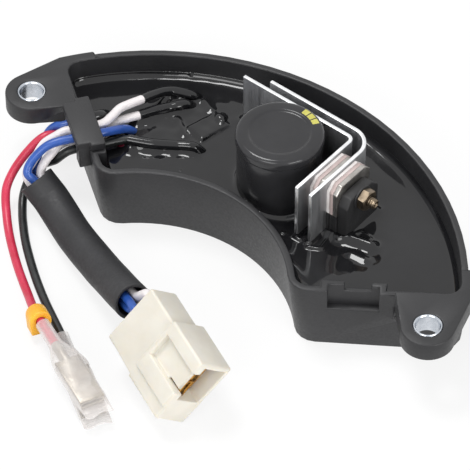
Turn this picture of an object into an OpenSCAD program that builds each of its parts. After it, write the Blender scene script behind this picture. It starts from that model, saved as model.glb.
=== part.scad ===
// Half-moon automatic voltage regulator for a generator's end bell.
// A potted tray with two fixing ears carries a capacitor, two bent cooling fins with a
// clamped stack of power devices, and a harness with a connector and two push-on terminals.

/* [Case] */
// Radius of the outer wall at the rim
outer_radius = 85.9; // [84:0.1:90]
// Radius of the concave wall at the rim
inner_radius = 41.5; // [39:0.1:43]
// Distance from the outer wall's centre to the concave wall's centre
inner_centre_back = 6.4; // [5:0.1:8]
// Angle of each end wall above the line through the fixing holes
end_angle = 34.7; // [33:0.1:36]
// Distance each end wall stands outside that radial line at the rim
end_offset = 3.9; // [3:0.1:5]
// Height of the case
case_height = 22.4; // [21:0.1:25]
// Wall thickness
wall = 2; // [1.6:0.1:2.6]
// Floor thickness
floor_thickness = 2; // [1.5:0.1:3]
// Lean of the concave wall between rim and underside
inner_draft = 2.3; // [0.5:0.1:3]
// Lean of the end walls between rim and underside
end_draft = 1.8; // [0.5:0.1:2.5]
// Lean of the outer wall between rim and underside
outer_draft = 1; // [0.2:0.1:2]
// Radius of the case's corners in plan
corner_radius = 6; // [4:0.1:7]

/* [Ears] */
// Distance between the fixing holes
hole_spacing = 140; // [138:0.1:144]
// Distance of the fixing holes from the outer wall's centre line
hole_line = 31.8; // [30:0.1:33]
// Radius of the ear's round end
ear_radius = 7.4; // [6.5:0.1:8.5]
// Thickness of the ear
ear_thickness = 6; // [4:0.1:8]
// Width the ear gains at its root
ear_flare = 2; // [0.5:0.1:3]
// Distance the ear's band stands proud of the outer wall
band_proud = 1.1; // [0.5:0.1:2]
// Length of that band beyond the end wall
band_run = 10; // [6:0.1:14]
// Thickness of the rib under the ear
ear_rib = 1.6; // [1:0.1:2.5]
// Drop of the rib under the ear
ear_rib_drop = 7; // [4:0.1:9]
// Outside diameter of the steel bushes
bush_od = 8; // [7.5:0.1:9]
// Inside diameter of the steel bushes
bush_id = 6.6; // [6:0.1:7]

/* [Wire outlet] */
// Distance of the outlet from the case's inner corner
outlet_start = 10.6; // [9:0.1:12]
// Length of the open outlet along the end wall
outlet_length = 17.4; // [15:0.1:17.6]
// Length of the blanked outlet along the other end wall
blank_length = 13.8; // [12:0.1:16]
// Depth of the outlet below the rim
outlet_depth = 7.4; // [6.6:0.1:7.6]
// Width of the land beside the notch
outlet_land = 4.4; // [3:0.1:5]
// Thickness of the pad behind the end wall
pad_thickness = 1.6; // [1.2:0.1:2]
// Drop of the blank's top below the rim
blank_drop = 2.5; // [1:0.1:4]
// Height of the clamp's bar above the rim
clamp_height = 2.7; // [2:0.1:4]
// Distance the clamp's bridge stands out from the end wall
clamp_reach = 3.3; // [2.5:0.1:4]
// Length of the clamp's legs below the rim
clamp_leg = 6.6; // [5:0.1:7]

/* [Inside] */
// Depth of the resin surface below the rim
resin_depth = 8; // [7.8:0.1:9]
// Thickness of the circuit board
board_thickness = 1.6; // [1.2:0.1:2]
// Height of the board's posts above the floor
post_height = 3; // [2:0.1:4]
// Gap between the board and the case wall
board_gap = 1.4; // [1.2:0.1:2]
// Diameter of the capacitor
cap_diameter = 24.6; // [22:0.1:25]
// Height of the capacitor above the board
cap_height = 27.8; // [26:0.1:35]
// Gap between the capacitor and the foot of the concave wall
cap_gap = 2.3; // [1:0.1:3]
// Sideways place of the capacitor
cap_x = 1.6; // [0:0.1:2]

/* [Fins and power devices] */
// Thickness of the fins
fin_thickness = 1.1; // [1:0.1:2]
// Height of the fins above the board
fin_height = 25; // [24:0.1:28]
// Gap between the capacitor and the inner fin
fin_gap = 0.2; // [0.1:0.1:0.5]
// Room for the bolt's head beside the capacitor
head_room = 2.5; // [2.3:0.1:4]
// Gap between the long legs of the two fins
fin_spacing = 2; // [1.5:0.1:3]
// Length of the inner fin's long leg
inner_fin_length = 39.2; // [34:0.1:42]
// Length of the outer fin's long leg
outer_fin_length = 36.8; // [32:0.1:40]
// Length of the fins' short legs
fin_leg = 25.4; // [24:0.1:27]
// Outer bend radius of the inner fin
inner_bend = 2.4; // [2.1:0.1:4]
// Outer bend radius of the outer fin
outer_bend = 7; // [5:0.1:9]
// Thickness of the insulating plates
insulator_thickness = 2.2; // [1.5:0.1:3]
// Thickness of the device tabs
tab_thickness = 1.4; // [1:0.1:2]
// Width of the power devices
device_width = 15.8; // [14:0.1:16.5]
// Height of the device tabs above the board
device_height = 24.2; // [23:0.1:25]
// Height of the devices' lower edge above the board
device_foot = 3.6; // [2.5:0.1:5]
// Chamfer of the device tabs' top corners
device_chamfer = 2.2; // [1:0.1:3]
// Thickness of the outer device's moulded body
body_thickness = 3.4; // [1.5:0.1:4]
// Distance from the tab's top to the bolt
bolt_drop = 5; // [4.2:0.1:6]
// Diameter of the clamping bolt
bolt_diameter = 3; // [2.5:0.1:3.5]
// Width across the nut's flats
nut_width = 5.5; // [5:0.1:6]

/* [Harness] */
// Diameter of the wires
wire_diameter = 2.4; // [2:0.1:2.4]
// Outside diameter of the harness sleeve
sleeve_od = 10.6; // [9.5:0.1:10.6]
// Wall of the harness sleeve
sleeve_wall = 0.9; // [0.6:0.1:1.2]
// Width of the connector's front block
plug_width = 21.2; // [21:0.1:22]
// Thickness of the connector's front block
plug_thickness = 12.8; // [12.8:0.1:13.4]
// Length of the connector
plug_length = 29; // [26:0.1:30]
// Length of the connector's rear block
plug_rear = 13.2; // [11:0.1:14]
// Step between the connector's blocks on each side
plug_step = 1.1; // [0.6:0.1:1.3]
// Width of a push-on receptacle
tag_width = 7; // [6.8:0.1:7.2]
// Thickness of a receptacle
tag_thickness = 2.8; // [2.4:0.1:3]
// Length of a receptacle's box
tag_length = 16; // [14:0.1:17]
// Width of a receptacle in the connector
way_tag_width = 5.4; // [5:0.1:5.6]
// Length of a clear terminal sleeve
cover_length = 34; // [32:0.1:36]
// Width of a clear terminal sleeve
cover_width = 8.6; // [8.4:0.1:9]
// Thickness of a clear terminal sleeve
cover_thickness = 4.3; // [4.2:0.1:4.4]

/* [Hidden] */
$fn = 64;

// Clearances
bush_fit = 0.03;
bolt_fit = 0.15;
clamp_fit = 0.2;
tag_fit = 0.15;
wire_fit = 0.2;
over = 1;

// Counts of steps along the outline's arcs
arc_steps = 13;
corner_steps = 4;

// Outline of the case in plan, centred on the outer wall's arc

function polar(c, r, a) = [c[0] + r * cos(a), c[1] + r * sin(a)];
function arc(c, r, a0, a1, n, first = 0) =
    [for (i = [first:n]) polar(c, r, a0 + (a1 - a0) * i / n)];
function end_point(t, w) =
    [t * cos(end_angle) + w * sin(end_angle), t * sin(end_angle) - w * cos(end_angle)];

// Share of the draft at a height: none at the rim, all of it at the underside
function lean(z) = 1 - z / case_height;
function outer_at(z) = outer_radius - outer_draft * lean(z);
function inner_at(z) = inner_radius + inner_draft * lean(z);
function end_at(z) = end_offset - end_draft * lean(z);

inner_centre = [0, -inner_centre_back];
inner_centre_t = -inner_centre_back * sin(end_angle);
inner_centre_w = inner_centre_back * cos(end_angle);

// Centres of the two corner fillets of the right-hand end, at height z and inset d
function inner_corner(z, d) = let (
    r = corner_radius - d,
    w = end_at(z) - d - r,
    reach = inner_at(z) + d + r)
    end_point(inner_centre_t + sqrt(reach * reach - (w - inner_centre_w) ^ 2), w);
function outer_corner(z, d) = let (
    r = corner_radius - d,
    w = end_at(z) - d - r,
    reach = outer_at(z) - d - r)
    end_point(sqrt(reach * reach - w * w), w);

function half_outline(z, d) = let (
    r = corner_radius - d,
    f1 = inner_corner(z, d),
    f2 = outer_corner(z, d),
    a1 = atan2(f1[1] - inner_centre[1], f1[0]),
    a2 = atan2(f2[1], f2[0]),
    n = end_angle - 90)
    concat(
        arc(inner_centre, inner_at(z) + d, 90, a1, arc_steps),
        arc(f1, r, a1 - 180, n, corner_steps, 1),
        arc(f2, r, n, a2, corner_steps),
        arc([0, 0], outer_at(z) - d, a2, 90, arc_steps, 1));
function outline(z, d) = let (h = half_outline(z, d), n = len(h))
    concat(h, [for (i = [n - 2:-1:1]) [-h[i][0], h[i][1]]]);

// Middle of the case in plan, which becomes the part's origin
plan_mid = (outer_radius + inner_corner(case_height, 0)[1] - corner_radius) / 2;
function section(z, d) = [for (p = outline(z, d)) [p[0], p[1] - plan_mid, z]];

// A solid through rings of points that have the same count, from the first to the last
module loft(rings, caps = []) {
    n = len(rings[0]);
    m = len(rings);
    sides = [for (k = [0:m - 2], i = [0:n - 1]) let (a = k * n + i, b = k * n + (i + 1) % n)
        each [[a, a + n, b + n], [a, b + n, b]]];
    first = len(caps) > 0 ? caps : [[for (i = [0:n - 1]) i]];
    last = [for (c = first) [for (i = [len(c) - 1:-1:0]) (m - 1) * n + c[i]]];
    polyhedron(points = [for (r = rings) each r], faces = concat(sides, first, last));
}

// Caps of the half-moon outline: strips from its concave side across to its outer side
outline_count = len(outline(0, 0));
outline_caps = let (half = outline_count / 2)
    [for (b = [0, half], i = [0:(half - 3) / 2]) let (p = b + i, q = b + half - i)
        each [[p, p + 1, q - 1], [p, q - 1, q % outline_count]]];

// Rings of a tube of radius r along a route
function unit(v) = v / norm(v);
function heading(route, i) =
    unit(route[min(i + 1, len(route) - 1)] - route[max(i - 1, 0)]);
function ring(route, i, r, sides) = let (
    h = heading(route, i),
    side = unit(cross(h, [0.31, 0.17, 0.93])),
    rise = cross(side, h))
    [for (k = [0:sides - 1])
        route[i] + r * (cos(360 * k / sides) * side - sin(360 * k / sides) * rise)];
module tube(route, r, sides) {
    loft([for (i = [0:len(route) - 1]) ring(route, i, r, sides)]);
}

// Heights
resin_z = case_height - resin_depth;
board_z = floor_thickness + post_height;
board_top = board_z + board_thickness;
outlet_z = case_height - outlet_depth;
device_z = board_top + device_foot;
device_top = board_top + device_height;
bolt_z = device_top - bolt_drop;

// Places of the ears and outlets along the end walls (t) and out from them (w)
hole_t = hole_spacing / 2 * cos(end_angle) + hole_line * sin(end_angle);
hole_w = hole_spacing / 2 * sin(end_angle) - hole_line * cos(end_angle);
ear_root = hole_t - ear_radius - ear_flare;
band_radius = outer_radius + band_proud;
band_w = end_offset - 1;
band_t = sqrt(band_radius * band_radius - band_w * band_w);
corner_t = inner_centre_t + sqrt(inner_radius * inner_radius - (end_offset - inner_centre_w) ^ 2);
outlet_t = corner_t + outlet_start;
pad_face = end_at(0) - wall - 0.7;
recess_face = pad_face + pad_thickness;
clamp_out = end_offset + clamp_reach;
notch_t = outlet_t + outlet_land;

// Places of the inside pieces
cap_y = inner_at(0) - inner_centre_back + wall + cap_gap + cap_diameter / 2 - plan_mid;
inner_fin_y = cap_y + cap_diameter / 2 + fin_gap + fin_thickness;
inner_fin_x = cap_x + cap_diameter / 2 + head_room + fin_thickness;
inner_tab_x = inner_fin_x + insulator_thickness;
outer_fin_x = inner_tab_x + tab_thickness + fin_thickness;
outer_fin_y = inner_fin_y + fin_spacing + fin_thickness;
outer_tab_x = outer_fin_x + insulator_thickness;
body_x = outer_tab_x + tab_thickness;
washer_x = body_x + body_thickness;
washer_thickness = 0.5;
nut_x = washer_x + washer_thickness;
nut_height = 2.4;
bolt_end = 2.1;
head_height = 1.8;
device_y = inner_fin_y - fin_leg / 2 + 0.4;
body_drop = 2.8;
lead_pitch = 5.45;
lead_width = 1.2;
lead_thickness = 0.6;

module right_end() {
    translate([0, -plan_mid, 0]) rotate([0, 0, end_angle]) children();
}
module left_end() {
    mirror([1, 0, 0]) right_end() children();
}
module both_ends() {
    right_end() children();
    left_end() children();
}

// A block along an end wall, from t0 to t1 along it and from w0 to w1 out of it
module end_block(t0, t1, w0, w1, z0, z1) {
    translate([t0, -w1, z0]) cube([t1 - t0, w1 - w0, z1 - z0]);
}

// A profile of (w, z) points run along an end wall
module end_profile(t0, t1, points) {
    translate([t0, 0, 0]) rotate([90, 0, 90]) linear_extrude(t1 - t0)
        polygon([for (p = points) [-p[0], p[1]]]);
}

// Ear outline in the end wall's own plan
module ear_plan() {
    gap = [band_t - hole_t, band_w - hole_w];
    a = atan2(gap[1], gap[0]) + acos(ear_radius / norm(gap));
    touch = polar([hole_t, hole_w], ear_radius, a);
    mirror([0, 1]) {
        translate([hole_t, hole_w]) circle(r = ear_radius);
        polygon([
            [hole_t - ear_radius, hole_w], [ear_root, end_offset - wall / 2],
            [band_t - wall, end_offset - wall / 2], [band_t, band_w], touch, [hole_t, hole_w]]);
        intersection() {
            circle(r = band_radius, $fn = 180);
            translate([band_t - 2 * wall, band_w - band_run]) square([3 * wall, band_run]);
        }
    }
}

module ear() {
    under = case_height - ear_thickness;
    translate([0, 0, under]) linear_extrude(ear_thickness) ear_plan();
    end_profile(ear_root, ear_root + ear_rib, [
        [end_offset - wall, under + over], [hole_w - ear_radius, under + over],
        [hole_w - ear_radius, under], [end_at(under - ear_rib_drop) - wall / 2, under - ear_rib_drop]]);
}

module ear_hole(d) {
    translate([hole_t, -hole_w, case_height - ear_thickness - over])
        cylinder(d = d, h = ear_thickness + 2 * over);
}

module outlet_pad(length) {
    end_profile(outlet_t - wall, outlet_t + length + wall, [
        [pad_face, floor_thickness - over], [end_at(0) - wall / 2, floor_thickness - over],
        [end_offset - wall / 2, case_height], [pad_face, case_height]]);
}

module outlet_cut(length, depth) {
    top = case_height + over;
    end_block(outlet_t, outlet_t + length, recess_face, clamp_out, outlet_z, top);
    end_block(notch_t, outlet_t + length - outlet_land / 2, pad_face - over, recess_face + over,
        case_height - depth, top);
}

module pads() {
    right_end() outlet_pad(blank_length);
    left_end() outlet_pad(outlet_length);
}

module pocket() {
    loft([section(floor_thickness, wall), section(resin_z, wall), section(case_height + over, wall)],
        outline_caps);
}

post_angles = [42, 74, 106, 138];
post_radius = 66;
post_diameter = 5;
module posts() {
    for (a = post_angles)
        translate([post_radius * cos(a), post_radius * sin(a) - plan_mid, floor_thickness - over])
            cylinder(d = post_diameter, h = post_height + over);
}

module case() {
    color("#2c2c2e") difference() {
        union() {
            difference() {
                union() {
                    loft([section(0, 0), section(case_height, 0)], outline_caps);
                    both_ends() ear();
                }
                pocket();
            }
            pads();
            posts();
        }
        right_end() outlet_cut(blank_length, blank_drop);
        left_end() outlet_cut(outlet_length, outlet_depth);
        both_ends() ear_hole(bush_od);
    }
}

module bush() {
    translate([hole_t, -hole_w, case_height - ear_thickness]) difference() {
        cylinder(d = bush_od - 2 * bush_fit, h = ear_thickness);
        translate([0, 0, -over]) cylinder(d = bush_id, h = ear_thickness + 2 * over);
    }
}
module left_bush() { color("#c9ccd0") left_end() bush(); }
module right_bush() { color("#c9ccd0") right_end() bush(); }

// Block that raises the resin's surface a little
block_size = [13, 9, 7.4];
block_at = [-28.7, 4.5];
block_turn = -26;
coat_cover = 1;

module potting() {
    color("#131314") difference() {
        union() {
            loft([section(floor_thickness, wall), section(resin_z, wall)], outline_caps);
            translate([block_at[0], block_at[1], resin_z - over]) rotate([0, 0, block_turn]) hull() {
                cover = [block_size[0] + 2 * coat_cover, block_size[1] + 2 * coat_cover];
                translate([-cover[0] / 2, -cover[1] / 2, 0]) cube([cover[0], cover[1], over]);
                translate([-block_size[0] / 2, -block_size[1] / 2, 0])
                    cube([block_size[0], block_size[1], over + coat_cover]);
            }
        }
        pads();
        posts();
        board_plate();
        capacitor_solid();
        inner_fin_solid();
        outer_fin_solid();
        stack_envelope();
        device_leads(inner_tab_x);
        device_leads(outer_tab_x);
        film_capacitor_solid();
        diode_solids();
        resistor_solids();
        trimmer_solid();
        for (w = wires) tube([w[0], w[1], w[2]], wire_diameter / 2, 8);
    }
}

module board_plate() {
    translate([0, 0, board_z]) linear_extrude(board_thickness)
        polygon([for (p = outline(floor_thickness, wall + board_gap)) [p[0], p[1] - plan_mid]]);
}
module circuit_board() { color("#3f6b3a") board_plate(); }

cap_round = 1.4;
cap_lip = 3.6;
cap_dish = 0.5;
crimp_z = 5;
crimp_depth = 0.7;
module capacitor_solid() {
    r = cap_diameter / 2;
    translate([cap_x, cap_y, board_top]) rotate_extrude() polygon(concat(
        [[0, 0], [r, 0], [r, crimp_z - 1], [r - crimp_depth, crimp_z], [r, crimp_z + 1]],
        arc([r - cap_round, cap_height - cap_round], cap_round, 0, 90, 5),
        [[r - cap_lip, cap_height], [r - cap_lip - cap_dish, cap_height - cap_dish],
         [0, cap_height - cap_dish]]));
}
module capacitor() { color("#29292b") capacitor_solid(); }

// A strip that runs back along y = top and turns down along x = corner with a bend of radius r
module bent_strip(corner, top, length, leg, r) {
    translate([corner - length, top - fin_thickness]) square([length - r, fin_thickness]);
    translate([corner - fin_thickness, top - leg]) square([fin_thickness, leg - r]);
    translate([corner - r, top - r]) intersection() {
        difference() {
            circle(r = r);
            circle(r = r - fin_thickness);
        }
        square(r);
    }
}
module bolt_hole(x0, x1, d) {
    translate([x0, device_y, bolt_z]) rotate([0, 90, 0]) cylinder(d = d, h = x1 - x0, $fn = 32);
}
module fin(corner, top, length, leg, r) {
    difference() {
        translate([0, 0, board_top]) linear_extrude(fin_height) bent_strip(corner, top, length, leg, r);
        bolt_hole(corner - fin_thickness - over, corner + over, bolt_diameter + 2 * bolt_fit);
    }
}
module inner_fin_solid() { fin(inner_fin_x, inner_fin_y, inner_fin_length, fin_leg, inner_bend); }
module outer_fin_solid() {
    fin(outer_fin_x, outer_fin_y, outer_fin_length, fin_leg + outer_fin_y - inner_fin_y, outer_bend);
}
module inner_fin() { color("#c4c6c8") inner_fin_solid(); }
module outer_fin() { color("#c4c6c8") outer_fin_solid(); }

// A plate across the stack with chamfered top corners
module device_plate(x, thickness, width, z0, z1, chamfer) {
    translate([x, device_y, 0]) rotate([90, 0, 90]) linear_extrude(thickness) polygon([
        [-width / 2, z0], [width / 2, z0], [width / 2, z1 - chamfer],
        [width / 2 - chamfer, z1], [-width / 2 + chamfer, z1], [-width / 2, z1 - chamfer]]);
}
module drilled_plate(x, thickness, width, z0, z1, chamfer) {
    difference() {
        device_plate(x, thickness, width, z0, z1, chamfer);
        bolt_hole(x - over, x + thickness + over, bolt_diameter + 2 * bolt_fit);
    }
}
module device_leads(x) {
    for (i = [-1:1])
        translate([x, device_y + i * lead_pitch - lead_width / 2, board_top])
            cube([lead_thickness, lead_width, device_foot]);
}

// Space that the plates of the stack take up in the resin
module stack_envelope() {
    device_plate(inner_fin_x, insulator_thickness + tab_thickness, device_width,
        device_z, device_top, device_chamfer);
    device_plate(outer_fin_x, insulator_thickness + tab_thickness, device_width,
        device_z, device_top, device_chamfer);
    device_plate(body_x, body_thickness, device_width - body_inset,
        device_z, device_top - body_drop, body_chamfer);
}
body_inset = 0.8;
body_chamfer = 3;
inner_body_height = 8.6;
module inner_insulator() {
    color("#ddd0cc") drilled_plate(inner_fin_x, insulator_thickness, device_width,
        device_z, device_top, device_chamfer);
}
module outer_insulator() {
    color("#ddd0cc") drilled_plate(outer_fin_x, insulator_thickness, device_width,
        device_z, device_top, device_chamfer);
}
module inner_transistor_tab() {
    color("#cfc9c4") drilled_plate(inner_tab_x, tab_thickness, device_width,
        device_z + inner_body_height, device_top, device_chamfer);
}
module inner_transistor_body() {
    color("#1c1c1d") device_plate(inner_tab_x, tab_thickness, device_width,
        device_z, device_z + inner_body_height, 0.01);
}
module outer_transistor_tab() {
    color("#cfc9c4") drilled_plate(outer_tab_x, tab_thickness, device_width,
        device_z, device_top, device_chamfer);
}
module outer_transistor_body() {
    color("#1c1c1d") drilled_plate(body_x, body_thickness, device_width - body_inset,
        device_z, device_top - body_drop, body_chamfer);
}
module inner_transistor_leads() { color("#b9b4ae") device_leads(inner_tab_x); }
module outer_transistor_leads() { color("#b9b4ae") device_leads(outer_tab_x); }

head_diameter = 5.6;
module clamp_bolt() {
    seat = inner_fin_x - fin_thickness;
    color("#b8a78c") union() {
        bolt_hole(seat - head_height, seat, head_diameter);
        bolt_hole(seat - over, nut_x + nut_height + bolt_end, bolt_diameter);
    }
}
washer_diameter = 7;
module clamp_washer() {
    color("#242425") difference() {
        bolt_hole(washer_x, nut_x, washer_diameter);
        bolt_hole(washer_x - over, nut_x + over, bolt_diameter + 2 * bolt_fit);
    }
}
module clamp_nut() {
    color("#c2ae8c") difference() {
        translate([nut_x, device_y, bolt_z]) rotate([0, 90, 0])
            cylinder(d = nut_width / cos(30), h = nut_height, $fn = 6);
        bolt_hole(nut_x - over, nut_x + nut_height + over, bolt_diameter + bolt_fit / 2);
    }
}

module film_capacitor_solid() {
    translate([block_at[0], block_at[1], board_top]) rotate([0, 0, block_turn])
        translate([-block_size[0] / 2, -block_size[1] / 2, 0]) cube(block_size);
}
module film_capacitor() { color("#8a3b2c") film_capacitor_solid(); }

// Axial parts that lie on the board along the tray's radius
module axial(angle, radius, d, length) {
    rotate([0, 0, angle]) translate([radius, 0, board_top + d / 2])
        rotate([0, 90, 0]) cylinder(d = d, h = length, $fn = 32);
}
diode_angles = [40.5, 46.5, 52.5, 58.5];
diode_size = [5, 9];
resistor_angles = [128, 134, 140];
resistor_size = [3.6, 11];
axial_radius = 62;
module diode_solids() {
    translate([0, -plan_mid, 0]) for (a = diode_angles)
        axial(a, axial_radius, diode_size[0], diode_size[1]);
}
module resistor_solids() {
    translate([0, -plan_mid, 0]) for (a = resistor_angles)
        axial(a, axial_radius, resistor_size[0], resistor_size[1]);
}
module rectifier_diodes() { color("#1f1f20") diode_solids(); }
module resistors() { color("#9a7a52") resistor_solids(); }

trimmer_at = [8, 24];
trimmer_size = [9.5, 6, 4.8];
trimmer_screw = 2.4;
module trimmer_solid() {
    translate([trimmer_at[0] - trimmer_size[0] / 2, trimmer_at[1] - trimmer_size[1] / 2, board_top]) {
        cube(trimmer_size);
        translate([trimmer_screw, trimmer_size[1] / 2, trimmer_size[2]])
            cylinder(d = trimmer_screw, h = trimmer_screw / 2, $fn = 32);
    }
}
module trimmer() { color("#2f5fa8") trimmer_solid(); }

// Moulded bridge over the wire outlet: a bar on the rim and a bridge with two legs
module wire_clamp() {
    t0 = outlet_t + clamp_fit;
    t1 = outlet_t + outlet_length - clamp_fit;
    bar_top = case_height + clamp_height;
    far_leg = outlet_land / 2 - 2 * clamp_fit;
    leg_face = recess_face + clamp_fit;
    color("#303032") left_end() union() {
        end_block(outlet_t - clamp_lap, outlet_t + outlet_length + clamp_lap,
            pad_face, end_offset - 0.4, case_height, bar_top);
        end_block(t0, t1, leg_face, clamp_out, case_height, bar_top);
        end_block(t0, t0 + outlet_land - 2 * clamp_fit, leg_face, clamp_out - clamp_step,
            case_height - clamp_leg, case_height + over);
        end_block(t1 - far_leg, t1, leg_face, clamp_out - clamp_step,
            case_height - clamp_leg, case_height + over);
    }
}
clamp_lap = 1;
clamp_step = 0.5;

// Harness routes, in the part's frame
upper_z = case_height - wire_diameter / 2 - 0.05;
lower_z = outlet_z + 1.7;
ways = [outlet_land + 2.4, outlet_land + 5.9, outlet_land + 9.4];
function in_outlet(t, w, z) = let (p = end_point(outlet_t + t, w)) [-p[0], p[1] - plan_mid, z];
function through(i, z) = [in_outlet(ways[i], -2.5, z), in_outlet(ways[i], 8, z)];

sleeve_route = [
    [-53.9, -38.2, 10.5], [-48, -38.6, 6.6], [-35, -43.9, 5.4], [-19.4, -50.3, 7.6], [-0.2, -59.2, 14.6]
];
sleeve_offset = 1.38;
function in_sleeve(places) = [for (i = [0:len(sleeve_route) - 1]) let (
    h = heading(sleeve_route, i),
    side = unit(cross([0, 0, 1], h)))
    sleeve_route[i] + sleeve_offset * (places[i][0] * side + places[i][1] * cross(h, side))];
// Two wires keep to the top of the sleeve, and the two below them change sides along it
top_places = [[1, 1], [1.05, 1.48], [1.16, 1.6], [1.05, 1.48], [1, 1]];
function top_in_sleeve(s) = in_sleeve([for (p = top_places) [s * p[0], p[1]]]);
function low_in_sleeve(s) = in_sleeve([for (i = [0:4]) [s * cos(45 * i), s * sin(45 * i) - 1]]);

// Connector: lies on one long edge, turned about its own length
plug_roll = 49;
plug_pitch = 7;
plug_yaw = -21.9;
plug_nose = [31.8, -72.6];
plug_rise = (plug_width / 2 * sin(plug_roll) + plug_thickness / 2 * cos(plug_roll)) * cos(plug_pitch);
function turn(p, r) = let (
    a = [p[0], p[1] * cos(r[0]) - p[2] * sin(r[0]), p[1] * sin(r[0]) + p[2] * cos(r[0])],
    b = [a[0] * cos(r[1]) + a[2] * sin(r[1]), a[1], a[2] * cos(r[1]) - a[0] * sin(r[1])])
    [b[0] * cos(r[2]) - b[1] * sin(r[2]), b[0] * sin(r[2]) + b[1] * cos(r[2]), b[2]];
plug_turn = [plug_roll, plug_pitch, plug_yaw];
plug_back = [plug_nose[0], plug_nose[1], plug_rise] - turn([plug_length, 0, 0], plug_turn);
function in_plug(p) = plug_back + turn(p, plug_turn);
// The four ways: two across at way_y, an upper and a lower row, the lower one set further back
way_y = [0, 6];
way_z = [-2.9, 1.9];
tag_start = [8.4, 11.4];
function into_plug(i, j) = [in_plug([-1.4, way_y[i], way_z[j]]), in_plug([tag_start[j], way_y[i], way_z[j]])];

red_turn = [0, 0, -23.6];
black_turn = [0, 0, -32];
red_neck = [-16.6, -76.25, 6.5];
black_neck = [-14.6, -72.4, 2.2];
neck_length = 6;
function into_neck(p, r) = [p, p + turn([neck_length, 0, 0], r)];

red_route = concat([[-48.7, -12.4, 12.4], [-48.9, -13.6, 15]], through(2, lower_z), [
    [-56.5, -26.8, 17.7], [-57.7, -28.9, 18.3], [-58.8, -31.3, 17.4], [-59.7, -34.2, 15.5],
    [-60.6, -37.2, 12.8], [-61.2, -40.2, 9.5], [-60.5, -43.6, 6.4], [-57, -47.6, 3.4], [-51, -53, 1.5],
    [-41, -60.6, 1.4], [-32, -66.6, 1.9], [-25.4, -71.4, 4.4], [-19.6, -74.9, 6.5]],
    into_neck(red_neck, red_turn));
black_route = concat([[-22.4, -2.2, 12.4], [-24.6, -4.4, 15.8], [-28.4, -6.8, 15.9], [-33.8, -10.9, 16.2],
    [-40.3, -14.5, 16.6]], through(0, lower_z), [[-53, -30.7, 13.1], [-56.3, -31.4, 10.2],
    [-58.5, -33.1, 8.1], [-58.9, -36, 5.4], [-57.6, -39.8, 3], [-55.2, -43, 1.7], [-52, -46.4, 1.4],
    [-45.3, -52.5, 1.4], [-35.5, -59.8, 1.4], [-27.6, -64.9, 1.5], [-20.3, -69.2, 2.1]],
    into_neck(black_neck, black_turn));
front_blue_route = concat([[-43, -8, 12.4], [-43.2, -12, 17]], through(0, upper_z), [
    [-51.9, -30.7, 20.9], [-53.7, -33.3, 20], [-55, -36.2, 17.9], [-55.7, -38.6, 15.4], [-55.2, -40.1, 13.5]],
    top_in_sleeve(-1), into_plug(0, 1));
rear_blue_route = concat([[-51.2, -8.6, 12.6], [-50.4, -11.6, 17.6]], [in_outlet(ways[2], -2.5, upper_z),
    in_outlet(ways[2], 8, upper_z - 1.3)], [[-57.7, -25, 18.9], [-59.5, -25.8, 16.6], [-59.8, -28.6, 13.8],
    [-58.3, -32.3, 12.8], [-57.1, -34.6, 11.8]], low_in_sleeve(1), into_plug(0, 0));
upper_white_route = concat([[-37.8, 13.8, 12.4], [-38.4, 11.1, 15.8], [-43, 7.8, 17.2], [-44.9, 3, 18.6],
    [-45.6, -2.2, 19.8], [-47.3, -9.7, 20.8]], through(1, upper_z), [[-54.5, -29.1, 20], [-56.1, -31.9, 18.4],
    [-56.4, -34.9, 15.8], [-56.9, -37.4, 13.1], [-56.6, -39.1, 11.3]], low_in_sleeve(-1), into_plug(1, 0));
lower_white_route = concat([[-36.9, 10.2, 12.4], [-37.4, 7, 15.9], [-40, 3.2, 16], [-42.1, -0.3, 16.3],
    [-44.3, -5.1, 16.6], [-46.7, -10.9, 17]], through(1, lower_z), [[-53.6, -29, 16.6],
    [-53.5, -31.7, 16.1], [-53.8, -34.7, 14.4]], top_in_sleeve(1), into_plug(1, 1));
wires = [red_route, black_route, front_blue_route, rear_blue_route, upper_white_route, lower_white_route];

module wire(route) { tube(route, wire_diameter / 2, 8); }
module red_wire() { color("#e0304a") wire(red_route); }
module black_wire() { color("#262a2b") wire(black_route); }
module front_blue_wire() { color("#2f57c8") wire(front_blue_route); }
module rear_blue_wire() { color("#2f57c8") wire(rear_blue_route); }
module upper_white_wire() { color("#f0eeee") wire(upper_white_route); }
module lower_white_wire() { color("#f0eeee") wire(lower_white_route); }

module harness_sleeve() {
    first = sleeve_route[0];
    last = sleeve_route[len(sleeve_route) - 1];
    ends = concat([first - over * heading(sleeve_route, 0)],
        [for (i = [1:len(sleeve_route) - 2]) sleeve_route[i]],
        [last + over * heading(sleeve_route, len(sleeve_route) - 1)]);
    color("#38383a") difference() {
        tube(sleeve_route, sleeve_od / 2, 12);
        tube(ends, sleeve_od / 2 - sleeve_wall, 12);
    }
}

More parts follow.
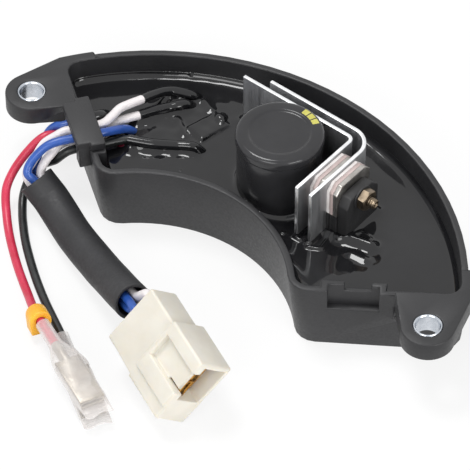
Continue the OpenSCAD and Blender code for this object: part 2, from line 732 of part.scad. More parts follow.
// Ivory housing: rear block, larger front block with a keyed top, and a hollow nose around the ways
key_side = [-0.9, 6.6];
key_depth = 2;
key_floor = 0.9;
key_lead = 1.5;
key_slit = 0.5;
key_slit_length = 6;
shoulder_y = -6.2;
nose_side = [-2.9, 9];
nose_depth = 11;
nose_base = 1.4;
module block(x0, x1, y0, y1, z0, z1) {
    translate([x0, y0, z0]) cube([x1 - x0, y1 - y0, z1 - z0]);
}
module centred_block(x0, x1, w, h) { block(x0, x1, -w / 2, w / 2, -h / 2, h / 2); }
module in_plug_frame() {
    translate(plug_back) rotate(plug_turn) children();
}
module connector_housing() {
    w = plug_width / 2;
    h = plug_thickness / 2;
    tip = plug_length + over;
    key_z = h - key_depth;
    color("#efe9dc") in_plug_frame() difference() {
        union() {
            centred_block(0, plug_rear + over, plug_width - 2 * plug_step, plug_thickness - 2 * plug_step);
            centred_block(plug_rear, plug_length, plug_width, plug_thickness);
        }
        block(plug_rear + key_lead, tip, key_side[0], key_side[1], key_z, h + over);
        block(plug_rear - over, tip, -w - over, shoulder_y, h - plug_step, h + over);
        block(plug_length - key_slit_length, tip, key_side[0], key_side[0] + key_slit,
            key_z - key_floor - over, key_z + over);
        block(plug_length - nose_depth, tip, nose_side[0], nose_side[1], nose_base - h, key_z - key_floor);
        for (i = [0, 1], j = [0, 1]) translate([0, way_y[i], way_z[j]]) {
            centred_block(tag_start[j] - over, tip, way_tag_width + 2 * tag_fit, tag_thickness + 2 * tag_fit);
            translate([-over, 0, 0]) rotate([0, 90, 0])
                cylinder(d = wire_diameter + 2 * wire_fit, h = tag_start[j] + 2 * over, $fn = 24);
        }
    }
}

// Folded receptacle: a flat box that takes a blade
blade_thickness = 0.9;
module receptacle(w) {
    difference() {
        centred_block(0, tag_length, w, tag_thickness);
        centred_block(2, tag_length + over, w - 1, blade_thickness);
    }
}
module connector_terminal(i, j) {
    color("#c8913c") in_plug_frame() translate([tag_start[j], way_y[i], way_z[j]]) receptacle(way_tag_width);
}
module connector_terminal_1() { connector_terminal(0, 0); }
module connector_terminal_2() { connector_terminal(1, 0); }
module connector_terminal_3() { connector_terminal(0, 1); }
module connector_terminal_4() { connector_terminal(1, 1); }

// Push-on terminals: a crimp barrel and a receptacle, in a clear sleeve with a round neck
neck_width = 4.3;
barrel_length = 7;
cover_wall = 0.4;
module at_neck(p, r) {
    translate(p) rotate(r) children();
}
module push_on_terminal() {
    translate([neck_length, 0, 0]) {
        rotate([0, 90, 0]) cylinder(d = wire_diameter + 0.6, h = barrel_length + over, $fn = 24);
        translate([barrel_length, 0, 0]) receptacle(tag_width);
    }
}
module red_terminal() { color("#c9c3b4") at_neck(red_neck, red_turn) push_on_terminal(); }
module black_terminal() { color("#c9c3b4") at_neck(black_neck, black_turn) push_on_terminal(); }

function flat_ring(x, w, h) = [for (k = [0:15]) let (a = 22.5 * k)
    [x, w / 2 * sign(cos(a)) * abs(cos(a)) ^ 0.35, h / 2 * sign(sin(a)) * abs(sin(a)) ^ 0.35]];
module cover_shape(inset, lap) {
    h = cover_thickness - 2 * inset;
    loft([
        flat_ring(-lap, neck_width - 2 * inset, h),
        flat_ring(neck_length, neck_width - 2 * inset, h),
        flat_ring(neck_length + barrel_length - 1, cover_width - 2 * inset, h),
        flat_ring(cover_length + lap, cover_width - 2 * inset, h)]);
}
module terminal_cover() {
    difference() {
        cover_shape(0, 0);
        cover_shape(cover_wall, over);
    }
}
module red_terminal_sleeve() { color("#e6e4e2") at_neck(red_neck, red_turn) terminal_cover(); }
module black_terminal_sleeve() { color("#e6e4e2") at_neck(black_neck, black_turn) terminal_cover(); }

// Yellow clip-on marker: a ring with a slit and a short tail on the red wire
marker_od = 6;
marker_length = 5.2;
marker_start = 1.8;
marker_tail = 2.6;
marker_slit = 1;
module wire_marker() {
    a = red_route[len(red_route) - 4];
    b = red_route[len(red_route) - 3];
    run = b - a;
    tilt = -asin(run[2] / norm(run));
    color("#f2b21c") translate(a) rotate([0, tilt, atan2(run[1], run[0])])
        translate([marker_start, 0, 0]) rotate([0, 90, 0]) difference() {
            union() {
                cylinder(d = marker_od, h = marker_length, $fn = 48);
                translate([0, -marker_od / 2, 0])
                    cube([marker_tail + wire_diameter / 2, marker_od / 2, marker_length]);
            }
            translate([0, 0, -over]) cylinder(d = wire_diameter + wire_fit, h = marker_length + 2 * over);
            translate([0, -marker_slit / 2, -over]) cube([marker_od, marker_slit, marker_length + 2 * over]);
        }
}

case();
left_bush();
right_bush();
potting();
circuit_board();
capacitor();
inner_fin();
outer_fin();
inner_insulator();
inner_transistor_tab();
inner_transistor_body();
inner_transistor_leads();
outer_insulator();
outer_transistor_tab();
outer_transistor_body();
outer_transistor_leads();
clamp_bolt();
clamp_washer();
clamp_nut();
film_capacitor();
rectifier_diodes();
resistors();
trimmer();
wire_clamp();
red_wire();
black_wire();
front_blue_wire();
rear_blue_wire();
upper_white_wire();
lower_white_wire();
harness_sleeve();
connector_housing();
connector_terminal_1();
connector_terminal_2();
connector_terminal_3();
connector_terminal_4();
red_terminal();
red_terminal_sleeve();
black_terminal();
black_terminal_sleeve();
wire_marker();
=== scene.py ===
import math

import bmesh
import bpy
from mathutils import Matrix, Vector, geometry, kdtree, noise


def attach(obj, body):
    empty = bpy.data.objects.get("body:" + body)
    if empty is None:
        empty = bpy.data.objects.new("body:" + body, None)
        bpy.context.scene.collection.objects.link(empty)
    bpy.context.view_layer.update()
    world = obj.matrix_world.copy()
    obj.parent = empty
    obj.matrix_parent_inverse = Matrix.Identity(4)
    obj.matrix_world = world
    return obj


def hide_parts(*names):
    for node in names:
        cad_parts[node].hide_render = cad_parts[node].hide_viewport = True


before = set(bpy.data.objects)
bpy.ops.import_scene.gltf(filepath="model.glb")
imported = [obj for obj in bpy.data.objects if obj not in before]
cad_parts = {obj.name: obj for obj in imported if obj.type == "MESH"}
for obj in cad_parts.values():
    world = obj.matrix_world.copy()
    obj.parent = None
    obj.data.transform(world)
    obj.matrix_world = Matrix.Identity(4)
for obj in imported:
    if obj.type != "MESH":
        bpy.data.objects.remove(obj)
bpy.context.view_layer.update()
scene = bpy.context.scene
scene.view_settings.view_transform = "Standard"
MM = 0.001


# Camera, fitted to the case as photographed: its axes and place in metres, its lens and sensor in mm

VIEW_RIGHT = (0.77173559, 0.63594354, 0)
VIEW_UP = (-0.45869135, 0.55663501, 0.69264689)
VIEW_BACK = (0.44048431, -0.53454025, 0.72127685)
VIEW_PLACE = (0.447102, -0.559003, 0.738482)
LENS, SENSOR = 281.52, 36

camera = bpy.data.objects.new("camera", bpy.data.cameras.new("camera"))
scene.collection.objects.link(camera)
facing = Matrix((VIEW_RIGHT, VIEW_UP, VIEW_BACK)).transposed().to_4x4()
camera.matrix_world = Matrix.Translation(VIEW_PLACE) @ facing
camera.data.lens = LENS
camera.data.sensor_width = SENSOR
scene.camera = camera


# Finishes

# Most of a noise texture lies between these values
NOISE_RANGE = {"From Min": 0.3, "From Max": 0.7}


def rgb(hex_colour):
    """Linear colour of an sRGB hex value."""
    parts = [int(hex_colour[i:i + 2], 16) / 255 for i in (1, 3, 5)]
    return [p / 12.92 if p <= 0.04045 else ((p + 0.055) / 1.055) ** 2.4 for p in parts] + [1]


def add(tree, kind, inputs=None, **settings):
    """Adds a shader node, sets it and links its inputs."""
    node = tree.nodes.new("ShaderNode" + kind)
    for name, value in settings.items():
        setattr(node, name, value)
    for name, value in (inputs or {}).items():
        if isinstance(value, bpy.types.NodeSocket):
            tree.links.new(value, node.inputs[name])
        else:
            node.inputs[name].default_value = value
    return node


def finish(name, dark, light, patch, rough, grain, depth, stretch=(1, 1, 1), **sockets):
    """A material whose colour drifts from dark to light over patches, sizes in mm.

    Its roughness runs between the two values of rough, and its grain is depth deep.
    """
    material = bpy.data.materials.new(name)
    material.use_nodes = True
    tree = material.node_tree
    shader = tree.nodes["Principled BSDF"]
    place = add(tree, "TexCoord").outputs["Object"]
    place = add(tree, "Mapping", {"Vector": place, "Scale": stretch}).outputs[0]
    drift = add(tree, "TexNoise", {"Vector": place, "Scale": 1 / (patch * MM), "Detail": 3}).outputs[0]
    drift = add(tree, "MapRange", {"Value": drift, **NOISE_RANGE}).outputs[0]
    pits = add(tree, "TexNoise", {"Vector": place, "Scale": 1 / (grain * MM), "Detail": 2}).outputs[0]
    colour = add(tree, "Mix", {0: drift, 6: rgb(dark), 7: rgb(light)}, data_type="RGBA").outputs[2]
    gloss = add(tree, "MapRange", {"Value": pits, **NOISE_RANGE, "To Min": rough[0],
                                   "To Max": rough[1]}).outputs[0]
    relief = add(tree, "Bump", {"Height": pits, "Strength": 1, "Distance": depth * MM}).outputs[0]
    tree.links.new(colour, shader.inputs["Base Color"])
    tree.links.new(gloss, shader.inputs["Roughness"])
    tree.links.new(relief, shader.inputs["Normal"])
    for socket, value in sockets.items():
        shader.inputs[socket.replace("_", " ")].default_value = value
    return material


def see_through(material, face_on, edge_on):
    """Makes a thin film: clear where it is seen face on, milky towards its edges."""
    tree = material.node_tree
    facing = add(tree, "LayerWeight", {"Blend": 0.4}).outputs["Facing"]
    cover = add(tree, "MapRange", {"Value": facing, "From Min": 0.15, "From Max": 1, "To Min": face_on,
                                   "To Max": edge_on}).outputs[0]
    tree.links.new(cover, tree.nodes["Principled BSDF"].inputs["Alpha"])


# Moulded glass-filled nylon: satin near-black with a fine spark-eroded grain that softens highlights.
case_nylon = finish("moulded_nylon", "#1c1c1e", "#252527", 14, (0.42, 0.56), 0.7, 0.012)
# Bright zinc plate on steel tube: cool, clean and a little cloudy.
zinc_plate = finish("zinc_plate", "#b4bac2", "#d6dae0", 3, (0.18, 0.34), 0.5, 0.004, Metallic=1)
# Cast epoxy: deep black glass with slow swells left by curing.
cast_epoxy = finish("cast_epoxy", "#161618", "#1d1d1f", 20, (0.04, 0.09), 6, 0.02)
# Shrunk PVC film over an aluminium can: smooth dark grey with a soft sheen.
shrink_film = finish("shrink_film", "#29292b", "#313133", 10, (0.14, 0.22), 1.6, 0.003,
                     Specular_IOR_Level=0.36)
# Screened ink: flat olive yellow.
olive_ink = finish("olive_ink", "#b9b352", "#cdc766", 1.2, (0.5, 0.6), 0.5, 0.003)
# Rolled aluminium sheet: pale grey with fine lines along the rolling direction, upright here.
rolled_aluminium = finish("rolled_aluminium", "#9c9d9f", "#babbbd", 5, (0.40, 0.55), 0.8, 0.006,
                          stretch=(1, 1, 0.06), Metallic=1)
# Cut edges of the same aluminium sheet: brighter for their fresh cut finish, and painted brighter still as
# the highlight they catch from the lights.
cut_edge_and_highlight_aluminium = finish("cut_edge_and_highlight_aluminium", "#dfe0e2", "#f3f4f5", 2, (0.30, 0.45), 0.4, 0.006,
                           Metallic=1)
# Moulded mica-filled plastic: chalky pinkish white.
mica_plastic = finish("mica_plastic", "#b5a39f", "#c9b8b5", 4, (0.45, 0.6), 0.7, 0.01)
# Mica sheet: paler and a little flaky.
white_mica = finish("white_mica", "#cdc6c4", "#e6e2e0", 3, (0.35, 0.5), 0.7, 0.01)
# Tinned copper: soft silvery grey.
tinned_copper = finish("tinned_copper", "#98948f", "#c0bdb9", 3, (0.28, 0.44), 0.6, 0.005, Metallic=1)
# Transfer-moulded epoxy: dull charcoal with a fine eroded grain.
device_epoxy = finish("device_epoxy", "#1a1a1b", "#242425", 5, (0.5, 0.64), 0.5, 0.012)
# Yellow chromate on zinc: straw coloured metal with a darker cast here and there.
chromate_steel = finish("chromate_steel", "#675c4f", "#968773", 1.6, (0.30, 0.46), 0.5, 0.006, Metallic=1)
# Dipped film capacitor: dull brick red.
dipped_film = finish("dipped_film", "#71301f", "#8d4330", 3, (0.4, 0.5), 0.8, 0.01)
# Coated resistor: tan enamel.
tan_enamel = finish("tan_enamel", "#927049", "#b08d61", 2, (0.35, 0.45), 0.6, 0.008)
# Moulded trimmer: clear blue plastic.
trimmer_blue = finish("trimmer_blue", "#1f4a86", "#2f62a6", 2, (0.35, 0.45), 0.5, 0.006)
# Glass laminate: green solder mask, a little mottled.
laminate = finish("laminate", "#1d4a2b", "#2a6038", 3, (0.35, 0.5), 0.4, 0.01)
# Extruded PVC: smooth, with a soft shine and slow waves along the wire.
red_vinyl = finish("red_vinyl", "#c02843", "#d03a58", 6, (0.28, 0.40), 3, 0.02)
black_vinyl = finish("black_vinyl", "#181a1a", "#212424", 6, (0.28, 0.40), 3, 0.02)
blue_vinyl = finish("blue_vinyl", "#264d9d", "#315caf", 6, (0.28, 0.40), 3, 0.02)
white_vinyl = finish("white_vinyl", "#e4dedf", "#f0ebeb", 6, (0.30, 0.42), 3, 0.02)
# The same red PVC under a thin film of resin: dark and glossy.
dark_red = finish("dark_red_vinyl", "#4a1220", "#64182b", 4, (0.12, 0.22), 3, 0.02)
# Soft PVC tubing: matt charcoal, talc dulled.
sleeve_vinyl = finish("sleeve_vinyl", "#1e1e20", "#28282a", 7, (0.50, 0.66), 0.9, 0.015)
# Moulded natural nylon: ivory, waxy and a little see-through at its edges.
ivory_nylon = finish("ivory_nylon", "#d8d3c7", "#dfdbd1", 7, (0.34, 0.46), 1.0, 0.012,
                     Subsurface_Weight=0.85, Subsurface_Radius=(0.007, 0.006, 0.0045))
# Stamped brass: warm and softly shining, darker in patches.
stamped_brass = finish("stamped_brass", "#a8742b", "#cf9c4d", 2, (0.22, 0.36), 0.5, 0.005, Metallic=1)
# Clear soft PVC: milky and wrinkled, with bright edges.
clear_vinyl = finish("clear_vinyl", "#ebe5e2", "#f7f4f2", 4, (0.12, 0.24), 2.2, 0.05)
see_through(clear_vinyl, 0.2, 0.8)
# Tin over brass: pale and dull, seen through the clear sleeves.
dull_tin = finish("dull_tin", "#a39c92", "#bdb6ab", 3, (0.40, 0.55), 0.6, 0.006, Metallic=0.7)
# Moulded polythene: warm flat yellow.
yellow_polythene = finish("yellow_polythene", "#eea91e", "#f8bb34", 4, (0.36, 0.48), 0.8, 0.012,
                          Subsurface_Weight=0.15, Subsurface_Radius=(0.002, 0.0012, 0.0004))


# Ways of making a piece

# Points nearer than this are merged, in metres: on new pieces, and on copies of the solids
MERGE, SOLID_MERGE = 1e-6, 2e-6


def piece(name, bm, materials, slot, *nodes, seam=35):
    """A finished object from a bmesh: it rides on the root and stands for its CAD nodes."""
    mesh = bpy.data.meshes.new(name)
    bm.to_mesh(mesh)
    bm.free()
    for material in materials:
        mesh.materials.append(material)
    mesh.shade_smooth()
    mesh.set_sharp_from_angle(angle=math.radians(seam))
    made = bpy.data.objects.new(name, mesh)
    scene.collection.objects.link(made)
    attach(made, "root")
    if nodes:
        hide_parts(*nodes)
    return made


def join_flats(bm):
    """Makes one face of faces that lie flat beside each other."""
    bmesh.ops.dissolve_limit(bm, angle_limit=math.radians(0.5), verts=bm.verts, edges=bm.edges)


def solid_copy(node):
    """The node's solid as a merged bmesh, with flat faces in one piece."""
    bm = bmesh.new()
    bm.from_mesh(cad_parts[node].data)
    bmesh.ops.remove_doubles(bm, verts=bm.verts, dist=SOLID_MERGE)
    join_flats(bm)
    return bm


def round_edges(bm, edges, width, segments=2):
    """Rounds the given edges by width mm."""
    bmesh.ops.bevel(bm, geom=edges, offset=width * MM, offset_type="OFFSET", segments=segments,
                    profile=0.5, affect="EDGES", material=-1, clamp_overlap=False)


def sharp_edges(bm, angle=35):
    """Edges whose two faces meet at more than the angle."""
    return [e for e in bm.edges if len(e.link_faces) == 2 and e.calc_face_angle() > math.radians(angle)]


def cut(bm, axis, place):
    """Adds edges where the plane across an axis at place mm meets the mesh."""
    way = Vector([float(name == axis) for name in "xyz"])
    bmesh.ops.bisect_plane(bm, geom=bm.verts[:] + bm.edges[:] + bm.faces[:], dist=MERGE,
                           plane_co=way * place * MM, plane_no=way)


def dressed(node, material, slot, width, segments=2):
    """The node's solid with rounded edges and its finish."""
    bm = solid_copy(node)
    round_edges(bm, sharp_edges(bm), width, segments)
    return piece(node + "_shape", bm, [material], slot, node)


def turned(profile, foot, axis=(0, 0, 1), steps=64):
    """A profile of radius and height in mm, spun about the axis through foot."""
    bm = bmesh.new()
    line = [bm.verts.new((r * MM, 0, h * MM)) for r, h in profile]
    edges = [bm.edges.new(pair) for pair in zip(line, line[1:])]
    bmesh.ops.spin(bm, geom=line + edges, cent=(0, 0, 0), axis=(0, 0, 1), angle=2 * math.pi,
                   steps=steps, use_merge=True)
    bmesh.ops.remove_doubles(bm, verts=bm.verts, dist=MERGE)
    bmesh.ops.recalc_face_normals(bm, faces=bm.faces)
    stand = Vector((0, 0, 1)).rotation_difference(Vector(axis)).to_matrix().to_4x4()
    bmesh.ops.transform(bm, matrix=Matrix.Translation(Vector(foot) * MM) @ stand, verts=bm.verts)
    return bm


def step(low, high, value):
    """Rises smoothly from 0 at low to 1 at high."""
    t = min(max((value - low) / (high - low), 0), 1)
    return t * t * (3 - 2 * t)


def from_segment(p, a, b):
    """Distance in plan from p to the line between a and b, and the share along it."""
    ax, ay = b[0] - a[0], b[1] - a[1]
    t = ((p[0] - a[0]) * ax + (p[1] - a[1]) * ay) / (ax * ax + ay * ay)
    t = min(max(t, 0), 1)
    return math.hypot(p[0] - a[0] - t * ax, p[1] - a[1] - t * ay), t


# Wires

def handles(points, i):
    """Handles before and after point i, for a curve that runs smoothly through the points."""
    before, after = points[max(i - 1, 0)], points[min(i + 1, len(points) - 1)]
    way, here = (after - before).normalized(), points[i]
    return here - way * (here - before).length / 3, here + way * (after - here).length / 3


def smooth_line(route):
    """The route in metres with one more point between each two."""
    points = [Vector(p) * MM for p in route]
    line = [points[0]]
    for i in range(len(points) - 1):
        bend = geometry.interpolate_bezier(points[i], handles(points, i)[1], handles(points, i + 1)[0],
                                           points[i + 1], 3)
        line += bend[1:]
    return line


def line_curve(name, line, radius, share=None):
    """A round curve through the line's points, and its length.

    share gives each point's part of the radius.
    """
    curve = bpy.data.curves.new(name, "CURVE")
    curve.dimensions = "3D"
    curve.bevel_depth = radius * MM
    curve.bevel_resolution = 6
    curve.resolution_u = 6
    curve.use_fill_caps = True
    spline = curve.splines.new("BEZIER")
    spline.bezier_points.add(len(line) - 1)
    length = 0
    for i, point in enumerate(line):
        knot = spline.bezier_points[i]
        knot.handle_left_type = knot.handle_right_type = "FREE"
        knot.co = point
        knot.handle_left, knot.handle_right = handles(line, i)
        knot.radius = share[i] if share else 1
        if i:
            steps = geometry.interpolate_bezier(line[i - 1], handles(line, i - 1)[1],
                                                handles(line, i)[0], point, 12)
            length += sum((b - a).length for a, b in zip(steps, steps[1:]))
    made = bpy.data.objects.new(name, curve)
    scene.collection.objects.link(made)
    return made, length


def taken_mesh(made):
    """The curve's surface as a bmesh; the curve itself goes."""
    mesh = bpy.data.meshes.new_from_object(made)
    bm = bmesh.new()
    bm.from_mesh(mesh)
    bpy.data.objects.remove(made)
    bpy.data.meshes.remove(mesh)
    bmesh.ops.remove_doubles(bm, verts=bm.verts, dist=MERGE)
    bmesh.ops.recalc_face_normals(bm, faces=bm.faces)
    return bm


RED_ROUTE = [
    (-48.7, -12.4, 12.4), (-48.9, -13.6, 15), (-49.74, -15.65, 16.7), (-55.72, -24.28, 16.7),
    (-56.5, -26.8, 17.7), (-57.7, -28.9, 18.3), (-58.8, -31.3, 17.4), (-59.7, -34.2, 15.5),
    (-60.6, -37.2, 12.8), (-61.2, -40.2, 9.5), (-60.5, -43.6, 6.4), (-57, -47.6, 3.4), (-51, -53, 1.5),
    (-41, -60.6, 1.4), (-32, -66.6, 1.9), (-25.4, -71.4, 4.4), (-19.6, -74.9, 6.5),
    (-16.6, -76.25, 6.5), (-11.1, -78.65, 6.5)]
BLACK_ROUTE = [
    (-22.4, -2.2, 12.4), (-24.6, -4.4, 15.8), (-28.4, -6.8, 15.9), (-33.8, -10.9, 16.2),
    (-40.3, -14.5, 16.6), (-43.99, -19.63, 16.7), (-49.96, -28.27, 16.7), (-53, -30.7, 13.1),
    (-56.3, -31.4, 10.2), (-58.5, -33.1, 8.1), (-58.9, -36, 5.4), (-57.6, -39.8, 3), (-55.2, -43, 1.7),
    (-52, -46.4, 1.4), (-45.3, -52.5, 1.4), (-35.5, -59.8, 1.4), (-27.6, -64.9, 1.5),
    (-20.3, -69.2, 2.1), (-14.6, -72.4, 2.2), (-9.51, -75.58, 2.2)]
FRONT_BLUE_ROUTE = [
    (-43, -8, 12.4), (-43.2, -12, 17), (-43.99, -19.63, 21.15), (-49.96, -28.27, 21.15),
    (-51.9, -30.7, 20.9), (-53.7, -33.3, 20), (-55, -36.2, 17.9), (-55.7, -38.6, 15.4),
    (-55.2, -40.1, 13.5), (-53.24, -39.63, 11.65), (-47.93, -40.13, 8.58), (-35.67, -45.35, 7.61),
    (-20.42, -51.43, 9.59), (-1.17, -60.27, 15.91), (3.41, -62.73, 17.05), (15.2, -67.47, 15.49)]
REAR_BLUE_ROUTE = [
    (-51.2, -8.6, 12.6), (-50.4, -11.6, 17.6), (-49.74, -15.65, 21.15), (-55.72, -24.28, 19.85),
    (-57.7, -25, 18.9), (-59.5, -25.8, 16.6), (-59.8, -28.6, 13.8), (-58.3, -32.3, 12.8),
    (-57.1, -34.6, 11.8), (-54.56, -36.77, 9.35), (-47.81, -37.64, 6.21), (-35, -43.9, 5.4),
    (-19.71, -51.23, 7.21), (-0.39, -60.63, 13.29), (4.41, -59.23, 13.92), (13.43, -62.86, 12.73)]
UPPER_WHITE_ROUTE = [
    (-37.8, 13.8, 12.4), (-38.4, 11.1, 15.8), (-43, 7.8, 17.2), (-44.9, 3, 18.6), (-45.6, -2.2, 19.8),
    (-47.3, -9.7, 20.8), (-46.86, -17.64, 21.15), (-52.84, -26.27, 21.15), (-54.5, -29.1, 20),
    (-56.1, -31.9, 18.4), (-56.4, -34.9, 15.8), (-56.9, -37.4, 13.1), (-56.6, -39.1, 11.3),
    (-54.75, -39.53, 9.35), (-48.85, -39.36, 4.32), (-34.92, -43.93, 2.64), (-18.5, -49.63, 5.31),
    (0.77, -58.13, 13.29), (6.39, -55.78, 18.42), (15.41, -59.41, 17.22)]
LOWER_WHITE_ROUTE = [
    (-36.9, 10.2, 12.4), (-37.4, 7, 15.9), (-40, 3.2, 16), (-42.1, -0.3, 16.3), (-44.3, -5.1, 16.6),
    (-46.7, -10.9, 17), (-46.86, -17.64, 16.7), (-52.84, -26.27, 16.7), (-53.6, -29, 16.6),
    (-53.5, -31.7, 16.1), (-53.8, -34.7, 14.4), (-53.05, -36.87, 11.65), (-47.09, -37.36, 8.58),
    (-34.46, -42.39, 7.61), (-19.26, -48.78, 9.59), (-0.01, -57.77, 15.91), (5.39, -59.29, 21.54),
    (17.18, -64.03, 19.98)]
SLEEVE_ROUTE = [
    (-53.9, -38.2, 10.5), (-48, -38.6, 6.6), (-35, -43.9, 5.4), (-19.4, -50.3, 7.6),
    (-0.2, -59.2, 14.6)]
# Diameter of the wires, and radius and wall of the sleeve around its middle line
WIRE, SLEEVE_RADIUS, SLEEVE_WALL = 2.5, 5.28, 0.9
# The sleeve's dents: their depth, how many there are to the metre, and the noise that leaves it undented
DENT, DENT_RATE, UNDENTED = 0.1, 160, 0.6


def wire(node, route, material):
    """A free wire that takes its CAD node's place."""
    line = smooth_line(route)
    made, length = line_curve(node + "_lead", line, WIRE / 2)
    made.data.materials.append(material)
    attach(made, "root")
    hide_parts(node)


def vinyl_sleeve():
    """The tube over the four connector wires, thick walled with soft cut ends and slow dents."""
    tube, _ = line_curve("sleeve_line", smooth_line(SLEEVE_ROUTE), SLEEVE_RADIUS)
    tube.data.use_fill_caps = False
    tube.data.bevel_resolution = 14
    tube.data.resolution_u = 4
    bm = taken_mesh(tube)
    for v in bm.verts:
        dent = DENT * (noise.noise(v.co * DENT_RATE) - UNDENTED)
        v.co += v.normal * dent * MM
    bmesh.ops.solidify(bm, geom=bm.faces, thickness=SLEEVE_WALL * MM)
    round_edges(bm, sharp_edges(bm, 60), 0.25, 3)
    return piece("harness_sleeve_shape", bm, [sleeve_vinyl], "sleeve_vinyl", "harness_sleeve", seam=50)


# The housing's own frame: X along it to its mouth, Y across it, Z up through its key
PLUG = Matrix.Translation(Vector((5.09331, -61.864, 15.642)) * MM)
for axis, turn in (("Z", -21.9), ("Y", 7), ("X", 49)):
    PLUG = PLUG @ Matrix.Rotation(math.radians(turn), 4, axis)
# Its length, the step between its two blocks, and the two sides of the thin slit beside the key
PLUG_LENGTH, PLUG_STEP, PLUG_SLIT = 29, 13.2, (-0.9, -0.4)
# The key's far side, the bottom and top of the tongue under it, and where that tongue ends
KEY_SIDE, ROOF, ROOF_END = 6.6, (3.5, 4.4), 27.5
# Past these the outside of the two blocks begins, and within these lies the bore
BLOCK_SIDE, BLOCK_TOP, BORE_SIDE, BORE_TOP = 9.4, 5.2, 9.3, 4.35
# Where the slit starts, how high it reaches, and how deep its mouth is
SLIT_START, SLIT_TOP, SLIT_MOUTH = 20, 4.3, 1.2
# Slack for telling what lies on a plane, for the tongue's cut and for the housing's edges
ON_CUT, ON_PLANE, ON_SLIT = 0.02, 0.05, 0.1


def cut_roof(bm):
    """Cuts the tongue under the key back, so that the upper contacts show in the mouth."""
    for axis, place in (("y", PLUG_SLIT[1]), ("y", KEY_SIDE), ("z", ROOF[0]), ("z", ROOF[1]),
                        ("x", ROOF_END)):
        cut(bm, axis, place)
    gone = []
    for f in bm.faces:
        x, y, z = f.calc_center_median() / MM
        beside_key = PLUG_SLIT[1] - ON_CUT < y < KEY_SIDE - ON_CUT
        if x > ROOF_END and beside_key and ROOF[0] - ON_CUT < z < ROOF[1] + ON_CUT:
            gone.append(f)
    bmesh.ops.delete(bm, geom=gone, context="FACES")
    for axis, place in ((0, ROOF_END), (1, KEY_SIDE)):
        rim = [e for e in bm.edges if e.is_boundary
               and all(abs(v.co[axis] / MM - place) < ON_CUT for v in e.verts)]
        bmesh.ops.contextual_create(bm, geom=list(dict.fromkeys(v for e in rim for v in e.verts)))


def softness(e):
    """How soft an edge of the housing is.

    2 for the outside of its two blocks, 1 for the key and the step, 0 for the bore and the slit.
    """
    a, b = (v.co / MM for v in e.verts)
    mid = (a + b) / 2
    if abs(mid.x - PLUG_STEP) < ON_PLANE:
        return 1 if e.is_convex else 0
    at_end = min(mid.x, PLUG_LENGTH - mid.x) < ON_PLANE
    if sum((abs(mid.y) > BLOCK_SIDE, abs(mid.z) > BLOCK_TOP, at_end)) > 1:
        return 2
    beside = PLUG_SLIT[0] - ON_SLIT < mid.y < PLUG_SLIT[1] + ON_SLIT
    slit = beside and mid.z < SLIT_TOP and mid.x > SLIT_START
    inside = max(a.x, b.x) < PLUG_LENGTH - ON_SLIT and abs(mid.y) < BORE_SIDE and abs(mid.z) < BORE_TOP
    mouth = abs(mid.y - PLUG_SLIT[0]) < ON_SLIT and mid.x > PLUG_LENGTH - SLIT_MOUTH
    return 0 if slit or inside or mouth else 1


def nylon_housing():
    """The connector's housing with soft moulded edges; the thin slit beside the key stays crisp."""
    bm = solid_copy("connector_housing")
    bmesh.ops.transform(bm, matrix=PLUG.inverted(), verts=bm.verts)
    cut_roof(bm)
    bmesh.ops.recalc_face_normals(bm, faces=bm.faces)
    join_flats(bm)
    round_edges(bm, [e for e in sharp_edges(bm) if softness(e) == 2], 0.8, 4)
    round_edges(bm, [e for e in sharp_edges(bm) if softness(e) == 1], 0.4, 3)
    bmesh.ops.transform(bm, matrix=PLUG, verts=bm.verts)
    return piece("connector_housing_shape", bm, [ivory_nylon], "ivory_nylon", "connector_housing")


# A clear sleeve: its length, half its thickness outside and at the middle of its wall, and that wall
COVER_LENGTH, COVER_HALF, COVER_MIDDLE, COVER_WALL = 34, 2.1, 1.95, 0.3
# Its width at distances from its neck
COVER_STATIONS = [(0, 4.3), (3, 4.3), (6, 4.4), (8, 5.7), (10, 7.3), (12, 8.5), (18, 8.6),
                  (COVER_LENGTH, 8.6)]
# Where its end starts to be pressed together, where that is done, and by how much
PINCH_START, PINCH_END, PINCH = 27.5, 32.5, 1.5
# Where the neck is still round and the body is flat, and where the wall starts to hang slack and is slack
ROUND_NECK, FLAT_BODY, TIGHT, SLACK = 4, 12, 4, 14
# How far the middle of its wall lies inside its width
COVER_INSET = 0.2
# Its cut end: how far its waves go back, their radians to the mm and their start
WAVE, WAVE_RATE, WAVE_START = 0.45, 0.95, 0.6
# Its folds: their depth, the noise that leaves it unfolded, and the share left where it is tight
FOLD, UNFOLDED, TIGHT_SHARE = 0.13, 0.9, 0.25


def cover_width(x):
    """Width of a clear sleeve at a distance from its neck, in mm."""
    for (x0, w0), (x1, w1) in zip(COVER_STATIONS, COVER_STATIONS[1:]):
        if x <= x1:
            return w0 + (w1 - w0) * (x - x0) / (x1 - x0)
    return COVER_STATIONS[-1][1]


def cover_fold(x, y, z, seed):
    """How far the wall of a clear sleeve moves out in its folds, in mm: mostly below 0, so inwards."""
    wide = noise.noise((x * 0.22 + seed, y * 0.5, z * 0.3))
    fine = noise.noise((x * 0.6, y * 0.9 + seed, z))
    return (wide + 0.5 * fine - UNFOLDED) * FOLD * (TIGHT_SHARE + step(TIGHT, SLACK, x))


